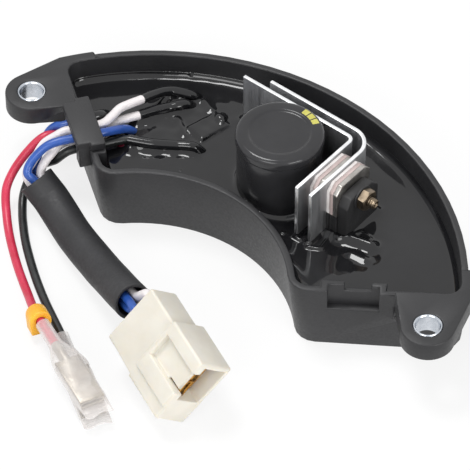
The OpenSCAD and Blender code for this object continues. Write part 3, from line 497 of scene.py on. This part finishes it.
def vinyl_cover(node, neck, turn, lead=0):
    """A clear sleeve over a push-on terminal: round neck, flat body, wrinkled wall and a wavy cut end.

    Its neck starts lead mm before the node's own.
    """
    bm = bmesh.new()
    bmesh.ops.create_grid(bm, x_segments=110, y_segments=64, size=1)
    for v in bm.verts:
        x, a = (COVER_LENGTH + lead) / 2 * (v.co.x + 1) - lead, math.pi * (v.co.y + 1)
        c, s = math.cos(a), math.sin(a)
        flat = 0.38 + 0.5 * step(FLAT_BODY, ROUND_NECK, x)
        y = (cover_width(x) / 2 - COVER_INSET) * math.copysign(abs(c) ** flat, c)
        z = (COVER_MIDDLE - PINCH * step(PINCH_START, PINCH_END, x)) * math.copysign(abs(s) ** flat, s)
        wave = WAVE + WAVE * math.sin(y * WAVE_RATE + WAVE_START)
        x -= step(COVER_LENGTH - 5, COVER_LENGTH, x) * wave
        v.co = Vector((x, y, z)) * MM
    bmesh.ops.remove_doubles(bm, verts=bm.verts, dist=MERGE)
    bmesh.ops.recalc_face_normals(bm, faces=bm.faces)
    bm.normal_update()
    for v in bm.verts:
        v.co += v.normal * cover_fold(*(v.co / MM), neck[0]) * MM
    bmesh.ops.solidify(bm, geom=bm.faces, thickness=COVER_WALL * MM)
    top = COVER_HALF * MM
    for v in bm.verts:
        side = cover_width(v.co.x / MM) / 2 * MM
        v.co = (min(v.co.x, COVER_LENGTH * MM), min(max(v.co.y, -side), side), min(max(v.co.z, -top), top))
    place = Matrix.Translation(Vector(neck) * MM) @ Matrix.Rotation(math.radians(turn), 4, "Z")
    bmesh.ops.transform(bm, matrix=place, verts=bm.verts)
    return piece(node + "_shape", bm, [clear_vinyl], "clear_vinyl", node, seam=50)


sleeve = vinyl_sleeve()
housing = nylon_housing()
contacts = [dressed(f"connector_terminal_{i}", stamped_brass, "terminal_brass", 0.3, 3)
            for i in (1, 2, 3, 4)]
red_tag = dressed("red_terminal", dull_tin, "plated_tab", 0.1)
black_tag = dressed("black_terminal", dull_tin, "plated_tab", 0.1)
red_cover = vinyl_cover("red_terminal_sleeve", (-16.6, -76.25, 6.5), -23.6, lead=2.4)
black_cover = vinyl_cover("black_terminal_sleeve", (-14.6, -72.4, 2.2), -32)
marker = dressed("wire_marker", yellow_polythene, "yellow_plastic", 0.3, 3)

wire("red_wire", RED_ROUTE, red_vinyl)
wire("black_wire", BLACK_ROUTE, black_vinyl)
wire("front_blue_wire", FRONT_BLUE_ROUTE, blue_vinyl)
wire("rear_blue_wire", REAR_BLUE_ROUTE, blue_vinyl)
wire("upper_white_wire", UPPER_WHITE_ROUTE, white_vinyl)
wire("lower_white_wire", LOWER_WHITE_ROUTE, white_vinyl)


# Case

# Where an ear's side meets the end wall, in plan on the right, and how far that crease reaches
EAR_CREASE, CREASE_REACH = (69.5, -8.2), 1.5
# The right bush's foot, and a bush's profile of radius and height
BUSH_FOOT = (70, -21.333, 16.4)
BUSH = [(3.3, 0.4), (3.6, 0.05), (3.75, 0), (3.985, 0.25), (3.985, 5.75), (3.8, 6), (3.55, 6),
        (3.3, 5.7), (3.3, 0.4)]


def moulded_case():
    """The case with its outer edges softened; inner corners and the creases at its ears stay sharp."""
    bm = solid_copy("case")
    soft = []
    for e in sharp_edges(bm):
        x, y, _ = (e.verts[0].co + e.verts[1].co) / 2 / MM
        crease = math.hypot(abs(x) - EAR_CREASE[0], y - EAR_CREASE[1]) < CREASE_REACH
        if e.is_convex and not crease:
            soft.append(e)
    round_edges(bm, soft, 0.45, 3)
    piece("case_shape", bm, [case_nylon], "case_plastic", "case")


moulded_case()
dressed("wire_clamp", case_nylon, "case_plastic", 0.4, 3)
for side, name in ((-1, "left_bush"), (1, "right_bush")):
    ring = turned(BUSH, (BUSH_FOOT[0] * side, *BUSH_FOOT[1:]), steps=48)
    piece(name + "_ring", ring, [zinc_plate], "zinc_steel", name)


# Resin

# Heights of the resin's level and of its foot
RESIN_TOP, RESIN_FOOT = 14.4, 2.05
# The tray's height and wall, how far its centre lies behind the frame's origin, and the end walls' slant
CASE_HEIGHT, WALL, CASE_MID, END_ANGLE = 22.4, 2, 53.1332, math.radians(34.7)
# The curved walls at the rim: each one's radius and lean, and how far back the inner one's centre lies
OUTER_RADIUS, OUTER_LEAN, INNER_RADIUS, INNER_LEAN, INNER_BACK = 85.9, 1, 41.5, 2.3, 6.4
# The end walls at the rim: how far outside the centre they lie, how far they lean, and the tray's corners
END_OFFSET, END_LEAN, CORNER = 3.9, 1.8, 6
# Thick stretches of the end walls behind the outlets: start along the wall, inner face, back and lengths
PAD_START, PAD_FACE, PAD_BACK, PAD_LENGTHS = 46.43, -0.6, 1.3, {-1: 21.4, 1: 17.8}
# Steps in the concave arc, the convex arc and a corner
CONCAVE_STEPS, CONVEX_STEPS, CORNER_STEPS = 90, 150, 24
# Points that stand for the concave wall, the convex wall, an end wall and a thick stretch
CONCAVE_POINTS, CONVEX_POINTS, END_POINTS, PAD_POINTS = 700, 1100, 240, 160
# The capacitor's middle in plan, and its radius
CAPACITOR, CAPACITOR_RADIUS = (1.6, 0.867), 12.3


def arc_points(centre, radius, start, end, count):
    """Points along an arc in plan."""
    turns = [start + (end - start) * i / count for i in range(count + 1)]
    return [(centre[0] + radius * math.cos(a), centre[1] + radius * math.sin(a)) for a in turns]


def end_point(t, w):
    """A place beside the right end wall: t along it from the centre, w outside it."""
    c, s = math.cos(END_ANGLE), math.sin(END_ANGLE)
    return t * c + w * s, t * s - w * c


def end_place(x, y):
    """How far a place lies along the end wall on its side, and outside it: end_point is its own reverse."""
    return end_point(abs(x), y + CASE_MID)


def both_halves(points):
    """Points of the right half, from the middle out, as one line from left to right in the part's frame."""
    right = [Vector((x, y - CASE_MID)) for x, y in points]
    return [Vector((-p.x, p.y)) for p in reversed(right[1:])] + right


def tray_chains(z, inset):
    """The tray's concave and convex edges in plan at a height, inset from the outside, in mm."""
    lean = 1 - z / CASE_HEIGHT
    outer = OUTER_RADIUS - OUTER_LEAN * lean - inset
    inner = INNER_RADIUS + INNER_LEAN * lean + inset
    fillet, w = CORNER - inset, END_OFFSET - END_LEAN * lean - CORNER
    reach = math.sqrt((inner + fillet) ** 2 - (w - INNER_BACK * math.cos(END_ANGLE)) ** 2)
    near = end_point(reach - INNER_BACK * math.sin(END_ANGLE), w)
    far = end_point(math.sqrt((outer - fillet) ** 2 - w * w), w)
    near_turn, far_turn = math.atan2(near[1] + INNER_BACK, near[0]), math.atan2(far[1], far[0])
    square = END_ANGLE - math.pi / 2
    concave = arc_points((0, -INNER_BACK), inner, math.pi / 2, near_turn, CONCAVE_STEPS)
    convex = arc_points((0, 0), outer, math.pi / 2, far_turn, CONVEX_STEPS)
    concave += arc_points(near, fillet, near_turn - math.pi, square, CORNER_STEPS)[1:]
    convex += arc_points(far, fillet, far_turn, square, CORNER_STEPS)[1:]
    return both_halves(concave), both_halves(convex)


def spaced(chain, count):
    """The chain as count points at equal steps."""
    runs = [0]
    for a, b in zip(chain, chain[1:]):
        runs.append(runs[-1] + (b - a).length)
    points, k = [], 0
    for i in range(count):
        goal = runs[-1] * i / (count - 1)
        while k < len(runs) - 2 and runs[k + 1] < goal:
            k += 1
        points.append(chain[k].lerp(chain[k + 1], (goal - runs[k]) / (runs[k + 1] - runs[k])))
    return points


def wall_finder():
    """A tree of points along everything moulded that the resin meets."""
    concave, convex = tray_chains(RESIN_TOP, WALL)
    points = spaced(concave, CONCAVE_POINTS) + spaced(convex, CONVEX_POINTS)
    for i in (0, -1):
        points += spaced([concave[i], convex[i]], END_POINTS)
    for side, length in PAD_LENGTHS.items():
        pad_end = PAD_START + length
        pad = [end_point(PAD_START, PAD_BACK), end_point(PAD_START, PAD_FACE), end_point(pad_end, PAD_FACE),
               end_point(pad_end, PAD_BACK)]
        points += spaced([Vector((side * x, y - CASE_MID)) for x, y in pad], PAD_POINTS)
    tree = kdtree.KDTree(len(points))
    for i, p in enumerate(points):
        tree.insert((p.x, p.y, 0), i)
    tree.balance()
    return tree


walls = wall_finder()
# Middle lines of the fins in plan, and the sides of the devices' stack in x and y
INNER_FIN = [((-21.7, 13.92), (16.95, 13.92)), ((16.95, 13.92), (16.95, -10.93))]
OUTER_FIN = [((-14.6, 17.02), (16.5, 17.02)), ((16.5, 17.02), (21.65, 12)), ((21.65, 12), (21.65, -10.93))]
STACK = (17.5, 29.2, -5.73, 10.07)
# Half a fin's thickness
FIN_HALF = 0.55
# How the resin climbs what stands in it: its height there, and the distance in which it falls away
WALL_CLIMB, CAPACITOR_CLIMB, FIN_CLIMB = (1.9, 0.75), (0.9, 0.7), (0.9, 0.6)
# Soft round places in plan, by middle and half size: a hollow, and two stretches where the surface is slack
HOLLOW, HOLLOW_DEPTH = ((15, -9), (15, 9)), 1.7
SLACK_PLACES = [((-36, 3), (11, 12)), ((34, -4), (7, 6))]
# Heights of the slow swells, of the ripples everywhere, and of the ripples where the surface is slack
SWELL, RIPPLE, SLACK_RIPPLE = 0.1, 0.02, 0.3
# The film capacitor's raised patch: middle, turn, half sizes, height, slope and the width of its shoulder
FILM_BLOCK, FILM_TURN, FILM_SIZE = (-27.5, 5.3), math.radians(-11), (3, 4.8)
FILM_RISE, FILM_SLOPE, FILM_SHOULDER = 1.15, 0.07, 0.8
# Where the rear blue wire lies in the middle of the clamp
UNDER_CLAMP = (-52.4, -20.2, 20.95)
# Strands under resin: the wire's route inside the tray and the radius of the coat at its two ends
STRANDS = [(UPPER_WHITE_ROUTE[:5], 1.6, 1.42), (LOWER_WHITE_ROUTE[:5], 1.6, 1.45),
           (BLACK_ROUTE[:5], 1.35, 1.6), (REAR_BLUE_ROUTE[:3] + [UNDER_CLAMP], 1.5, 1.42)]
# How far to the side a strand lifts the resin, the film over it, and the lifts at which it comes free
STRAND_REACH, STRAND_FILM, STILL_COVERED, FREE = 5, 0.3, 2.6, 4.6
# Half width of the resin draped over a strand, and how far that half width changes
DRAPE_HALF, DRAPE_CHANGE = 1.6, 0.8
# The share by which a strand's coat grows and shrinks, and how often to the metre
COAT_CHANGE, COAT_RATE = 0.07, 300
# The red wire's end just breaks the surface beside the black strand
RED_GLIMPSE = [(-43.4, -15.6, 13.2), (-41.7, -15.6, 14.2), (-39.8, -14.9, 14.4), (-37.6, -14.4, 13.4)]
# Long lumps in plan: two ends, half width and height
LUMPS = [((30.6, -3.4), (36.6, -2.2), 1.7, 1.9), ((33.4, -7.6), (38.0, -7.2), 1.3, 0.7),
         ((-35.0, 12.4), (-31.2, 11.0), 1.2, 0.8), ((-36.4, 2.2), (-30.6, -1.6), 1.1, 0.6),
         ((-46.6, -13.2), (-38.4, -15.6), 1.5, 1.5)]
# Beads where the resin hangs between the fins and around the outer device's foot
BEADS = [[(16.9, -11.5), (19.1, -11.7), (19.8, -8.1)],
         [(22.7, -12.6), (25.7, -11.1), (25.0, -6.8), (24.2, -4.6)],
         [(24.4, -4.8), (27.3, -5.6), (29.6, -4.2), (30.8, 0.6), (34.8, -0.2)]]
# A bead's height and half width
BEAD_HEIGHT, BEAD_HALF = 0.75, 0.6
# Blisters: place, radius and height
BLISTERS = [(-27.1, 10.2, 1.9, 1.2), (-25.7, 9.0, 1.1, 0.9), (13.8, -12.4, 0.7, 0.5),
            (-50.9, -3.1, 0.5, 0.3), (-44.3, 17.4, 0.5, 0.35), (-42.6, 19.2, 0.4, 0.3),
            (-22.4, -12.9, 0.4, 0.3), (47, -12, 0.5, 0.3)]
# From PAD_COVER inside a thick stretch of wall on, the resin rises by PAD_RISE at most
PAD_COVER, PAD_RISE = 0.4, 0.2
# The grid of the resin's top along and across the tray, and how much it is crowded towards the walls
RESIN_GRID, CROWDING = (460, 126), 0.75
# How far the top reaches into the wall, and how far the foot stays clear of it
TOP_REACH, FOOT_GAP = 0.1, 0.02


def plan_noise(x, y, rate, layer):
    """Smooth noise about 0 at a place in plan, with rate changes to the mm."""
    return noise.noise((x * rate, y * rate, layer))


def hump(x, y, middle, half):
    """1 in the middle of a soft round place in plan, falling to nothing outside it."""
    return math.exp(-((x - middle[0]) / half[0]) ** 2 - ((y - middle[1]) / half[1]) ** 2)


def climb(distance, height, fall):
    """How high the resin climbs at a distance from what stands in it."""
    return height * math.exp(-max(distance, 0) / fall)


def film_patch(x, y):
    """Height of the raised patch over the film capacitor."""
    c, s = math.cos(-FILM_TURN), math.sin(-FILM_TURN)
    x, y = x - FILM_BLOCK[0], y - FILM_BLOCK[1]
    x, y = c * x - s * y, s * x + c * y
    height = FILM_RISE - FILM_SLOPE * (y + FILM_SIZE[1])
    x, y = abs(x) - FILM_SIZE[0], abs(y) - FILM_SIZE[1]
    outside = math.hypot(max(x, 0), max(y, 0)) + min(max(x, y), 0)
    return height * step(FILM_SHOULDER, 0, outside)


def ridge_height(x, y):
    """Height of the strands, lumps, beads and blisters at a place in plan."""
    place, ridge = (x, y), 0
    spread = DRAPE_HALF + DRAPE_CHANGE * plan_noise(x, y, 0.4, 5)
    for route, _, _ in STRANDS:
        for a, b in zip(route, route[1:]):
            d, t = from_segment(place, a, b)
            if d < STRAND_REACH:
                lift = a[2] + (b[2] - a[2]) * t - RESIN_TOP
                drape = max(lift + STRAND_FILM, 0) * step(FREE, STILL_COVERED, lift)
                ridge = max(ridge, drape * math.exp(-(d / spread) ** 2))
    for a, b, half, height in LUMPS:
        ridge = max(ridge, height * math.exp(-(from_segment(place, a, b)[0] / half) ** 2))
    for bead in BEADS:
        d = min(from_segment(place, a, b)[0] for a, b in zip(bead, bead[1:]))
        ridge = max(ridge, BEAD_HEIGHT * math.exp(-(d / BEAD_HALF) ** 2))
    for bx, by, radius, height in BLISTERS:
        d = math.hypot(x - bx, y - by) / radius
        if d < 1:
            ridge = max(ridge, height * math.sqrt(1 - d * d))
    return ridge


def resin_rise(x, y):
    """Height in mm of the resin above its level at a place in plan."""
    rise = climb(walls.find((x, y, 0))[2], *WALL_CLIMB) - HOLLOW_DEPTH * hump(x, y, *HOLLOW)
    from_can = math.hypot(x - CAPACITOR[0], y - CAPACITOR[1]) - CAPACITOR_RADIUS
    from_fin = min(from_segment((x, y), a, b)[0] for a, b in INNER_FIN + OUTER_FIN) - FIN_HALF
    from_stack = math.hypot(max(STACK[0] - x, x - STACK[1], 0), max(STACK[2] - y, y - STACK[3], 0))
    rise += climb(from_can, *CAPACITOR_CLIMB) + climb(min(from_fin, from_stack), *FIN_CLIMB)
    rise += film_patch(x, y)
    slack = sum(hump(x, y, *spot) for spot in SLACK_PLACES)
    rise += SWELL * plan_noise(x, y, 0.09, 3) + (RIPPLE + SLACK_RIPPLE * slack) * plan_noise(x, y, 0.3, 8)
    rise += ridge_height(x, y)
    along, out = end_place(x, y)
    pad_end = PAD_START + PAD_LENGTHS[1 if x > 0 else -1]
    in_pad = out > PAD_FACE + PAD_COVER and PAD_START < along < pad_end
    return min(rise, PAD_RISE) if in_pad else rise


def cast_resin():
    """The resin fill: a wavy glossy top that climbs the walls and drapes what lies in it."""
    along, across = RESIN_GRID
    bm = bmesh.new()
    bmesh.ops.create_grid(bm, x_segments=along, y_segments=across, size=1)
    rims, feet = tray_chains(RESIN_TOP, WALL - TOP_REACH), tray_chains(RESIN_FOOT, WALL + FOOT_GAP)
    concave, convex = (spaced(chain, along + 1) for chain in rims)
    low_concave, low_convex = (spaced(chain, along + 1) for chain in feet)
    below = {}
    for v in bm.verts:
        i, s = round((v.co.x + 1) / 2 * along), (v.co.y + 1) / 2
        s -= CROWDING * math.sin(2 * math.pi * s) / (2 * math.pi)
        p, low = concave[i].lerp(convex[i], s), low_concave[i].lerp(low_convex[i], s)
        v.co = Vector((p.x, p.y, RESIN_TOP + resin_rise(p.x, p.y))) * MM
        if v.is_boundary:
            below[v.co.to_tuple(7)] = Vector((low.x, low.y, RESIN_FOOT)) * MM
    rim = [e for e in bm.edges if e.is_boundary]
    skirt = bmesh.ops.extrude_edge_only(bm, edges=rim)["geom"]
    for v in skirt:
        if isinstance(v, bmesh.types.BMVert):
            v.co = below[v.co.to_tuple(7)]
    bmesh.ops.contextual_create(bm, geom=[e for e in bm.edges if e.is_boundary])
    bmesh.ops.recalc_face_normals(bm, faces=bm.faces)
    piece("resin_fill", bm, [cast_epoxy], "resin", "potting", seam=60)


def coated_strand(name, route, start, end):
    """The film of resin around a wire that lies on the fill, a little uneven along it."""
    line = smooth_line(route)
    shares = [start + (end - start) * i / (len(line) - 1) for i in range(len(line))]
    shares = [r * (1 + COAT_CHANGE * noise.noise(p * COAT_RATE)) for r, p in zip(shares, line)]
    bm = taken_mesh(line_curve(name, line, 1, shares)[0])
    piece(name, bm, [cast_epoxy], "resin", seam=60)


cast_resin()
red_end, _ = line_curve("red_line", smooth_line(RED_GLIMPSE), WIRE / 2)
piece("red_strand", taken_mesh(red_end), [dark_red], "red_wire")
for name, strand in zip(("upper_strand", "lower_strand", "black_strand", "blue_strand"), STRANDS):
    coated_strand(name, *strand)


# Capacitor

# Profile of radius and height: the can's side, the sleeve's lip, the crown as an arc, and the dished top
CAN_SIDE = [(0, 6.6), (11.6, 6.6), (11.9, 7), (11.9, 30.3)]
CAN_LIP = [(11.84, 30.7), (11.9, 30.95), (12.16, 31.1), (12.28, 31.3), (12.3, 31.6)]
CROWN_CENTRE, CROWN_RADIUS, CROWN_ANGLES = (10.9, 33), 1.4, (0, 14, 28, 42, 56, 71.25, 90)
CAN_DISH = [(10.2, 34.4), (9.4, 34.4), (8.95, 34.38), (8.7, 34.3), (8.45, 34.08), (8.2, 33.94), (7.9, 33.9),
            (4, 33.9), (0, 33.9)]
# The printed blocks: lowest height, inner and outer radius, and each one's start and width in degrees
PRINT_FLOOR, PRINT_BAND, PRINT_STARTS, PRINT_WIDTH = 34, (9.4, 11.4), (80, 68, 56), 10


def sleeved_capacitor():
    """The capacitor: sleeve shrunk over the can's bead, dished top and three plain printed blocks."""
    crown = []
    for a in map(math.radians, CROWN_ANGLES):
        out, up = CROWN_RADIUS * math.cos(a), CROWN_RADIUS * math.sin(a)
        crown.append((CROWN_CENTRE[0] + out, CROWN_CENTRE[1] + up))
    bm = turned(CAN_SIDE + CAN_LIP + crown + CAN_DISH, (*CAPACITOR, 0), steps=180)
    for f in bm.faces:
        p = f.calc_center_median() / MM
        x, y = p.x - CAPACITOR[0], p.y - CAPACITOR[1]
        turn = math.degrees(math.atan2(y, x))
        in_band = p.z > PRINT_FLOOR and PRINT_BAND[0] < math.hypot(x, y) < PRINT_BAND[1]
        if in_band and any(a < turn < a + PRINT_WIDTH for a in PRINT_STARTS):
            f.material_index = 1
    piece("capacitor_shape", bm, [shrink_film, olive_ink], "capacitor_sleeve", "capacitor", seam=70)


sleeved_capacitor()


# Fins and devices

# The bolt's head in the part's frame, and the height up to which the devices' black moulding reaches
BOLT, MOULDED = (14.6, 2.167, 25.8), 20.6
# Where the fins' near ends lie, and the side of the outer device that is drawn narrower, and by how much
FIN_END, TRIM_SIDE, TRIM = -10.8, -3, 1.3
# The seam between an insulator's two sheets: half width, depth, and how far it stays clear of the bolt
SEAM_HALF, SEAM_DEPTH, SEAM_CLEAR = 0.14, 0.4, 2
# Rounding of the fins', plates' and tabs' edges
PRESSED_EDGE = 0.16
# The nut's chamfers: their circle as a share of the flats, their slope, and the bore's own in mm
NUT_CIRCLE, NUT_SLOPE, BORE_EDGE = 0.97, 0.62, 0.25


def cooling_fin(node):
    """A bent fin: its cut edges get a brighter copy of the aluminium, partly their own cut finish and
    partly a painted highlight; the rolled faces are duller.
    """
    bm = solid_copy(node)
    round_edges(bm, sharp_edges(bm), PRESSED_EDGE, 2)
    left = min(v.co.x for v in bm.verts)
    for f in bm.faces:
        p = f.calc_center_median()
        # Cut edges face up or down, or lie at the left end or the near end; their brighter colour is partly
        # a painted highlight
        cut_edge_and_highlight = abs(f.normal.z) > 0.6 or p.x < left + 0.1 * MM or p.y < FIN_END * MM
        f.material_index = 1 if cut_edge_and_highlight else 0
    piece(node + "_shape", bm, [rolled_aluminium, cut_edge_and_highlight_aluminium], "fin_aluminium", node)


def trimmed_copy(node, trim):
    """The node's solid with its -Y side moved in by trim mm."""
    bm = solid_copy(node)
    for v in bm.verts:
        if v.co.y < TRIM_SIDE * MM:
            v.co.y += trim * MM
    return bm


def pressed_plate(node, seam_x, trim=0):
    """An insulator of two sheets with a seam between them at seam_x mm, moulded over below."""
    bm = trimmed_copy(node, trim)
    cut(bm, "z", MOULDED)
    for side in (-SEAM_HALF, 0, SEAM_HALF):
        cut(bm, "x", seam_x + side)
    bm.normal_update()
    for v in bm.verts:
        x, y, z = v.co / MM
        if abs(x - seam_x) < 0.01 and math.hypot(y - BOLT[1], z - BOLT[2]) > SEAM_CLEAR:
            v.co -= v.normal * SEAM_DEPTH * MM
    corners = [e for e in sharp_edges(bm, 40) if abs(e.verts[0].co.x / MM - seam_x) > 0.2]
    round_edges(bm, corners, PRESSED_EDGE, 2)
    for f in bm.faces:
        p = f.calc_center_median() / MM
        f.material_index = 2 if p.z < MOULDED else 1 if p.x > seam_x else 0
    piece(node + "_shape", bm, [white_mica, mica_plastic, device_epoxy], "insulator", node)


def moulded_tab(node, trim=0):
    """A plated tab whose lower part is under the device's black moulding."""
    bm = trimmed_copy(node, trim)
    cut(bm, "z", MOULDED)
    round_edges(bm, sharp_edges(bm), PRESSED_EDGE, 2)
    for f in bm.faces:
        f.material_index = 1 if f.calc_center_median().z / MM < MOULDED else 0
    piece(node + "_shape", bm, [tinned_copper, device_epoxy], "plated_tab", node)


def hex_nut(flats, height, bore, foot):
    """A nut along +X with chamfered corners at both ends, in mm."""
    corner, flat = flats / 2 / math.cos(math.pi / 6), flats / 2 * NUT_CIRCLE
    mouth = bore + BORE_EDGE
    bm = turned([(bore, BORE_EDGE), (mouth, 0), (flat, 0), (corner, 0.5), (corner, height - 0.5),
                 (flat, height), (mouth, height), (bore, height - BORE_EDGE), (bore, BORE_EDGE)],
                (0, 0, 0), steps=96)
    for v in bm.verts:
        r, h = math.hypot(v.co.x, v.co.y) / MM, v.co.z / MM
        if r > corner - 0.01:
            turn = math.atan2(v.co.y, v.co.x) % (math.pi / 3) - math.pi / 6
            hexagon = flats / 2 / math.cos(turn)
            drop = (hexagon - flat) * NUT_SLOPE
            v.co = Vector((v.co.x * hexagon / r, v.co.y * hexagon / r,
                           (drop if h < height / 2 else height - drop) * MM))
    stand = Vector((0, 0, 1)).rotation_difference(Vector((1, 0, 0))).to_matrix().to_4x4()
    bmesh.ops.transform(bm, matrix=Matrix.Translation(Vector(foot) * MM) @ stand, verts=bm.verts)
    return bm


# Profiles of radius and distance along the bolt: its head and shank, its hollow tip, and the washer
BOLT_HEAD = [(0, 0.15), (1.2, 0), (2.4, 0.1), (2.8, 0.5), (2.8, 1.7), (2.65, 1.8), (1.48, 1.8),
             (1.48, 16.8)]
# The thread's real pitch of 0.5 mm is too fine to show, so its turns are drawn 0.65 mm apart
THREAD_START, THREAD_PITCH, THREAD_TURNS = 16.9, 0.65, 4
THREAD_TURN = [(1.48, 0.1), (1.48, 0.22), (1.26, 0.42), (1.26, 0.5)]
THREAD = [(r, THREAD_START + THREAD_PITCH * k + h) for k in range(THREAD_TURNS) for r, h in THREAD_TURN]
BOLT_TIP = [(1.3, 19.45), (1.12, 19.6), (0.85, 19.6), (0.72, 19.45), (0.6, 18.9), (0, 18.75)]
WASHER = [(1.65, 0), (3.38, 0), (3.5, 0.1), (3.5, 0.4), (3.38, 0.5), (1.75, 0.5), (1.65, 0.4), (1.65, 0)]
# The x at which the washer and the nut start, and the nut's flats, height and bore radius
WASHER_X, NUT_X, NUT = 29.2, 29.7, (5.5, 2.4, 1.52)

cooling_fin("inner_fin")
cooling_fin("outer_fin")
pressed_plate("inner_insulator", 18.55)
pressed_plate("outer_insulator", 23.25, TRIM)
moulded_tab("inner_transistor_tab")
moulded_tab("outer_transistor_tab", TRIM)
body = trimmed_copy("outer_transistor_body", TRIM)
round_edges(body, sharp_edges(body), 0.4, 3)
piece("outer_transistor_body_shape", body, [device_epoxy], "device_plastic", "outer_transistor_body")
bolt = turned(BOLT_HEAD + THREAD + BOLT_TIP, BOLT, (1, 0, 0), 40)
piece("clamp_bolt_shape", bolt, [chromate_steel], "passivated_steel", "clamp_bolt")
washer = turned(WASHER, (WASHER_X, *BOLT[1:]), (1, 0, 0), 48)
piece("clamp_washer_shape", washer, [device_epoxy], "device_plastic", "clamp_washer")
nut = hex_nut(*NUT, (NUT_X, *BOLT[1:]))
piece("clamp_nut_shape", nut, [chromate_steel], "passivated_steel", "clamp_nut", seam=25)


# Pieces sealed in the resin

SEALED = {"circuit_board": laminate, "inner_transistor_body": device_epoxy,
          "inner_transistor_leads": tinned_copper, "outer_transistor_leads": tinned_copper,
          "film_capacitor": dipped_film, "rectifier_diodes": device_epoxy, "resistors": tan_enamel,
          "trimmer": trimmer_blue}
for name, material in SEALED.items():
    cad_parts[name].material_slots[0].material = material


# Floor and light

def seen_rays(tree):
    """1 for rays from the eye, from gloss and through clear pieces, 0 for the rest."""
    rays = add(tree, "LightPath").outputs
    seen = rays["Is Camera Ray"]
    for kind in ("Is Glossy Ray", "Is Transmission Ray"):
        seen = add(tree, "Math", {0: seen, 1: rays[kind]}, operation="MAXIMUM").outputs[0]
    return seen


def studio_floor():
    """A plain white floor that keeps a soft shadow."""
    bm = bmesh.new()
    bmesh.ops.create_grid(bm, x_segments=8, y_segments=8, size=3)
    mesh = bpy.data.meshes.new("floor")
    bm.to_mesh(mesh)
    bm.free()
    floor = bpy.data.objects.new("floor", mesh)
    scene.collection.objects.link(floor)
    material = bpy.data.materials.new("studio_white")
    material.use_nodes = True
    tree = material.node_tree
    tree.nodes.clear()
    paper = add(tree, "BsdfDiffuse", {"Color": rgb("#f4f4f4")}).outputs[0]
    glow = add(tree, "Emission", {"Color": (1, 1, 1, 1), "Strength": 1}).outputs[0]
    share = add(tree, "Math", {0: seen_rays(tree), 1: 0.8}, operation="MULTIPLY").outputs[0]
    both = add(tree, "MixShader", {0: share, 1: paper, 2: glow}).outputs[0]
    add(tree, "OutputMaterial", {"Surface": both})
    mesh.materials.append(material)


def studio_light(name, place, aim, width, height, power):
    """A soft box at place that points at aim."""
    lamp = bpy.data.lights.new(name, "AREA")
    lamp.shape = "RECTANGLE"
    lamp.size, lamp.size_y, lamp.energy = width, height, power
    made = bpy.data.objects.new(name, lamp)
    scene.collection.objects.link(made)
    made.location = place
    made.rotation_euler = (Vector(aim) - Vector(place)).to_track_quat("-Z", "Y").to_euler()


def studio_sky():
    """A white surround: full white to the eye and in reflections, soft fill on the object."""
    scene.world = bpy.data.worlds.new("surround")
    scene.world.use_nodes = True
    tree = scene.world.node_tree
    strength = add(tree, "MapRange", {"Value": seen_rays(tree), "To Min": 0.5, "To Max": 1}).outputs[0]
    tree.links.new(strength, tree.nodes["Background"].inputs["Strength"])
    tree.nodes["Background"].inputs["Color"].default_value = (1, 1, 1, 1)


studio_floor()
studio_sky()
studio_light("overhead_box", (-0.25, -0.03, 0.75), (0, 0, 0), 0.28, 0.28, 3.3)
studio_light("front_box", (0.15, -0.8, 0.55), (0, 0, 0), 0.5, 0.35, 2.7)
studio_light("right_box", (0.75, -0.2, 0.3), (0, 0, 0), 0.4, 0.3, 2.6)
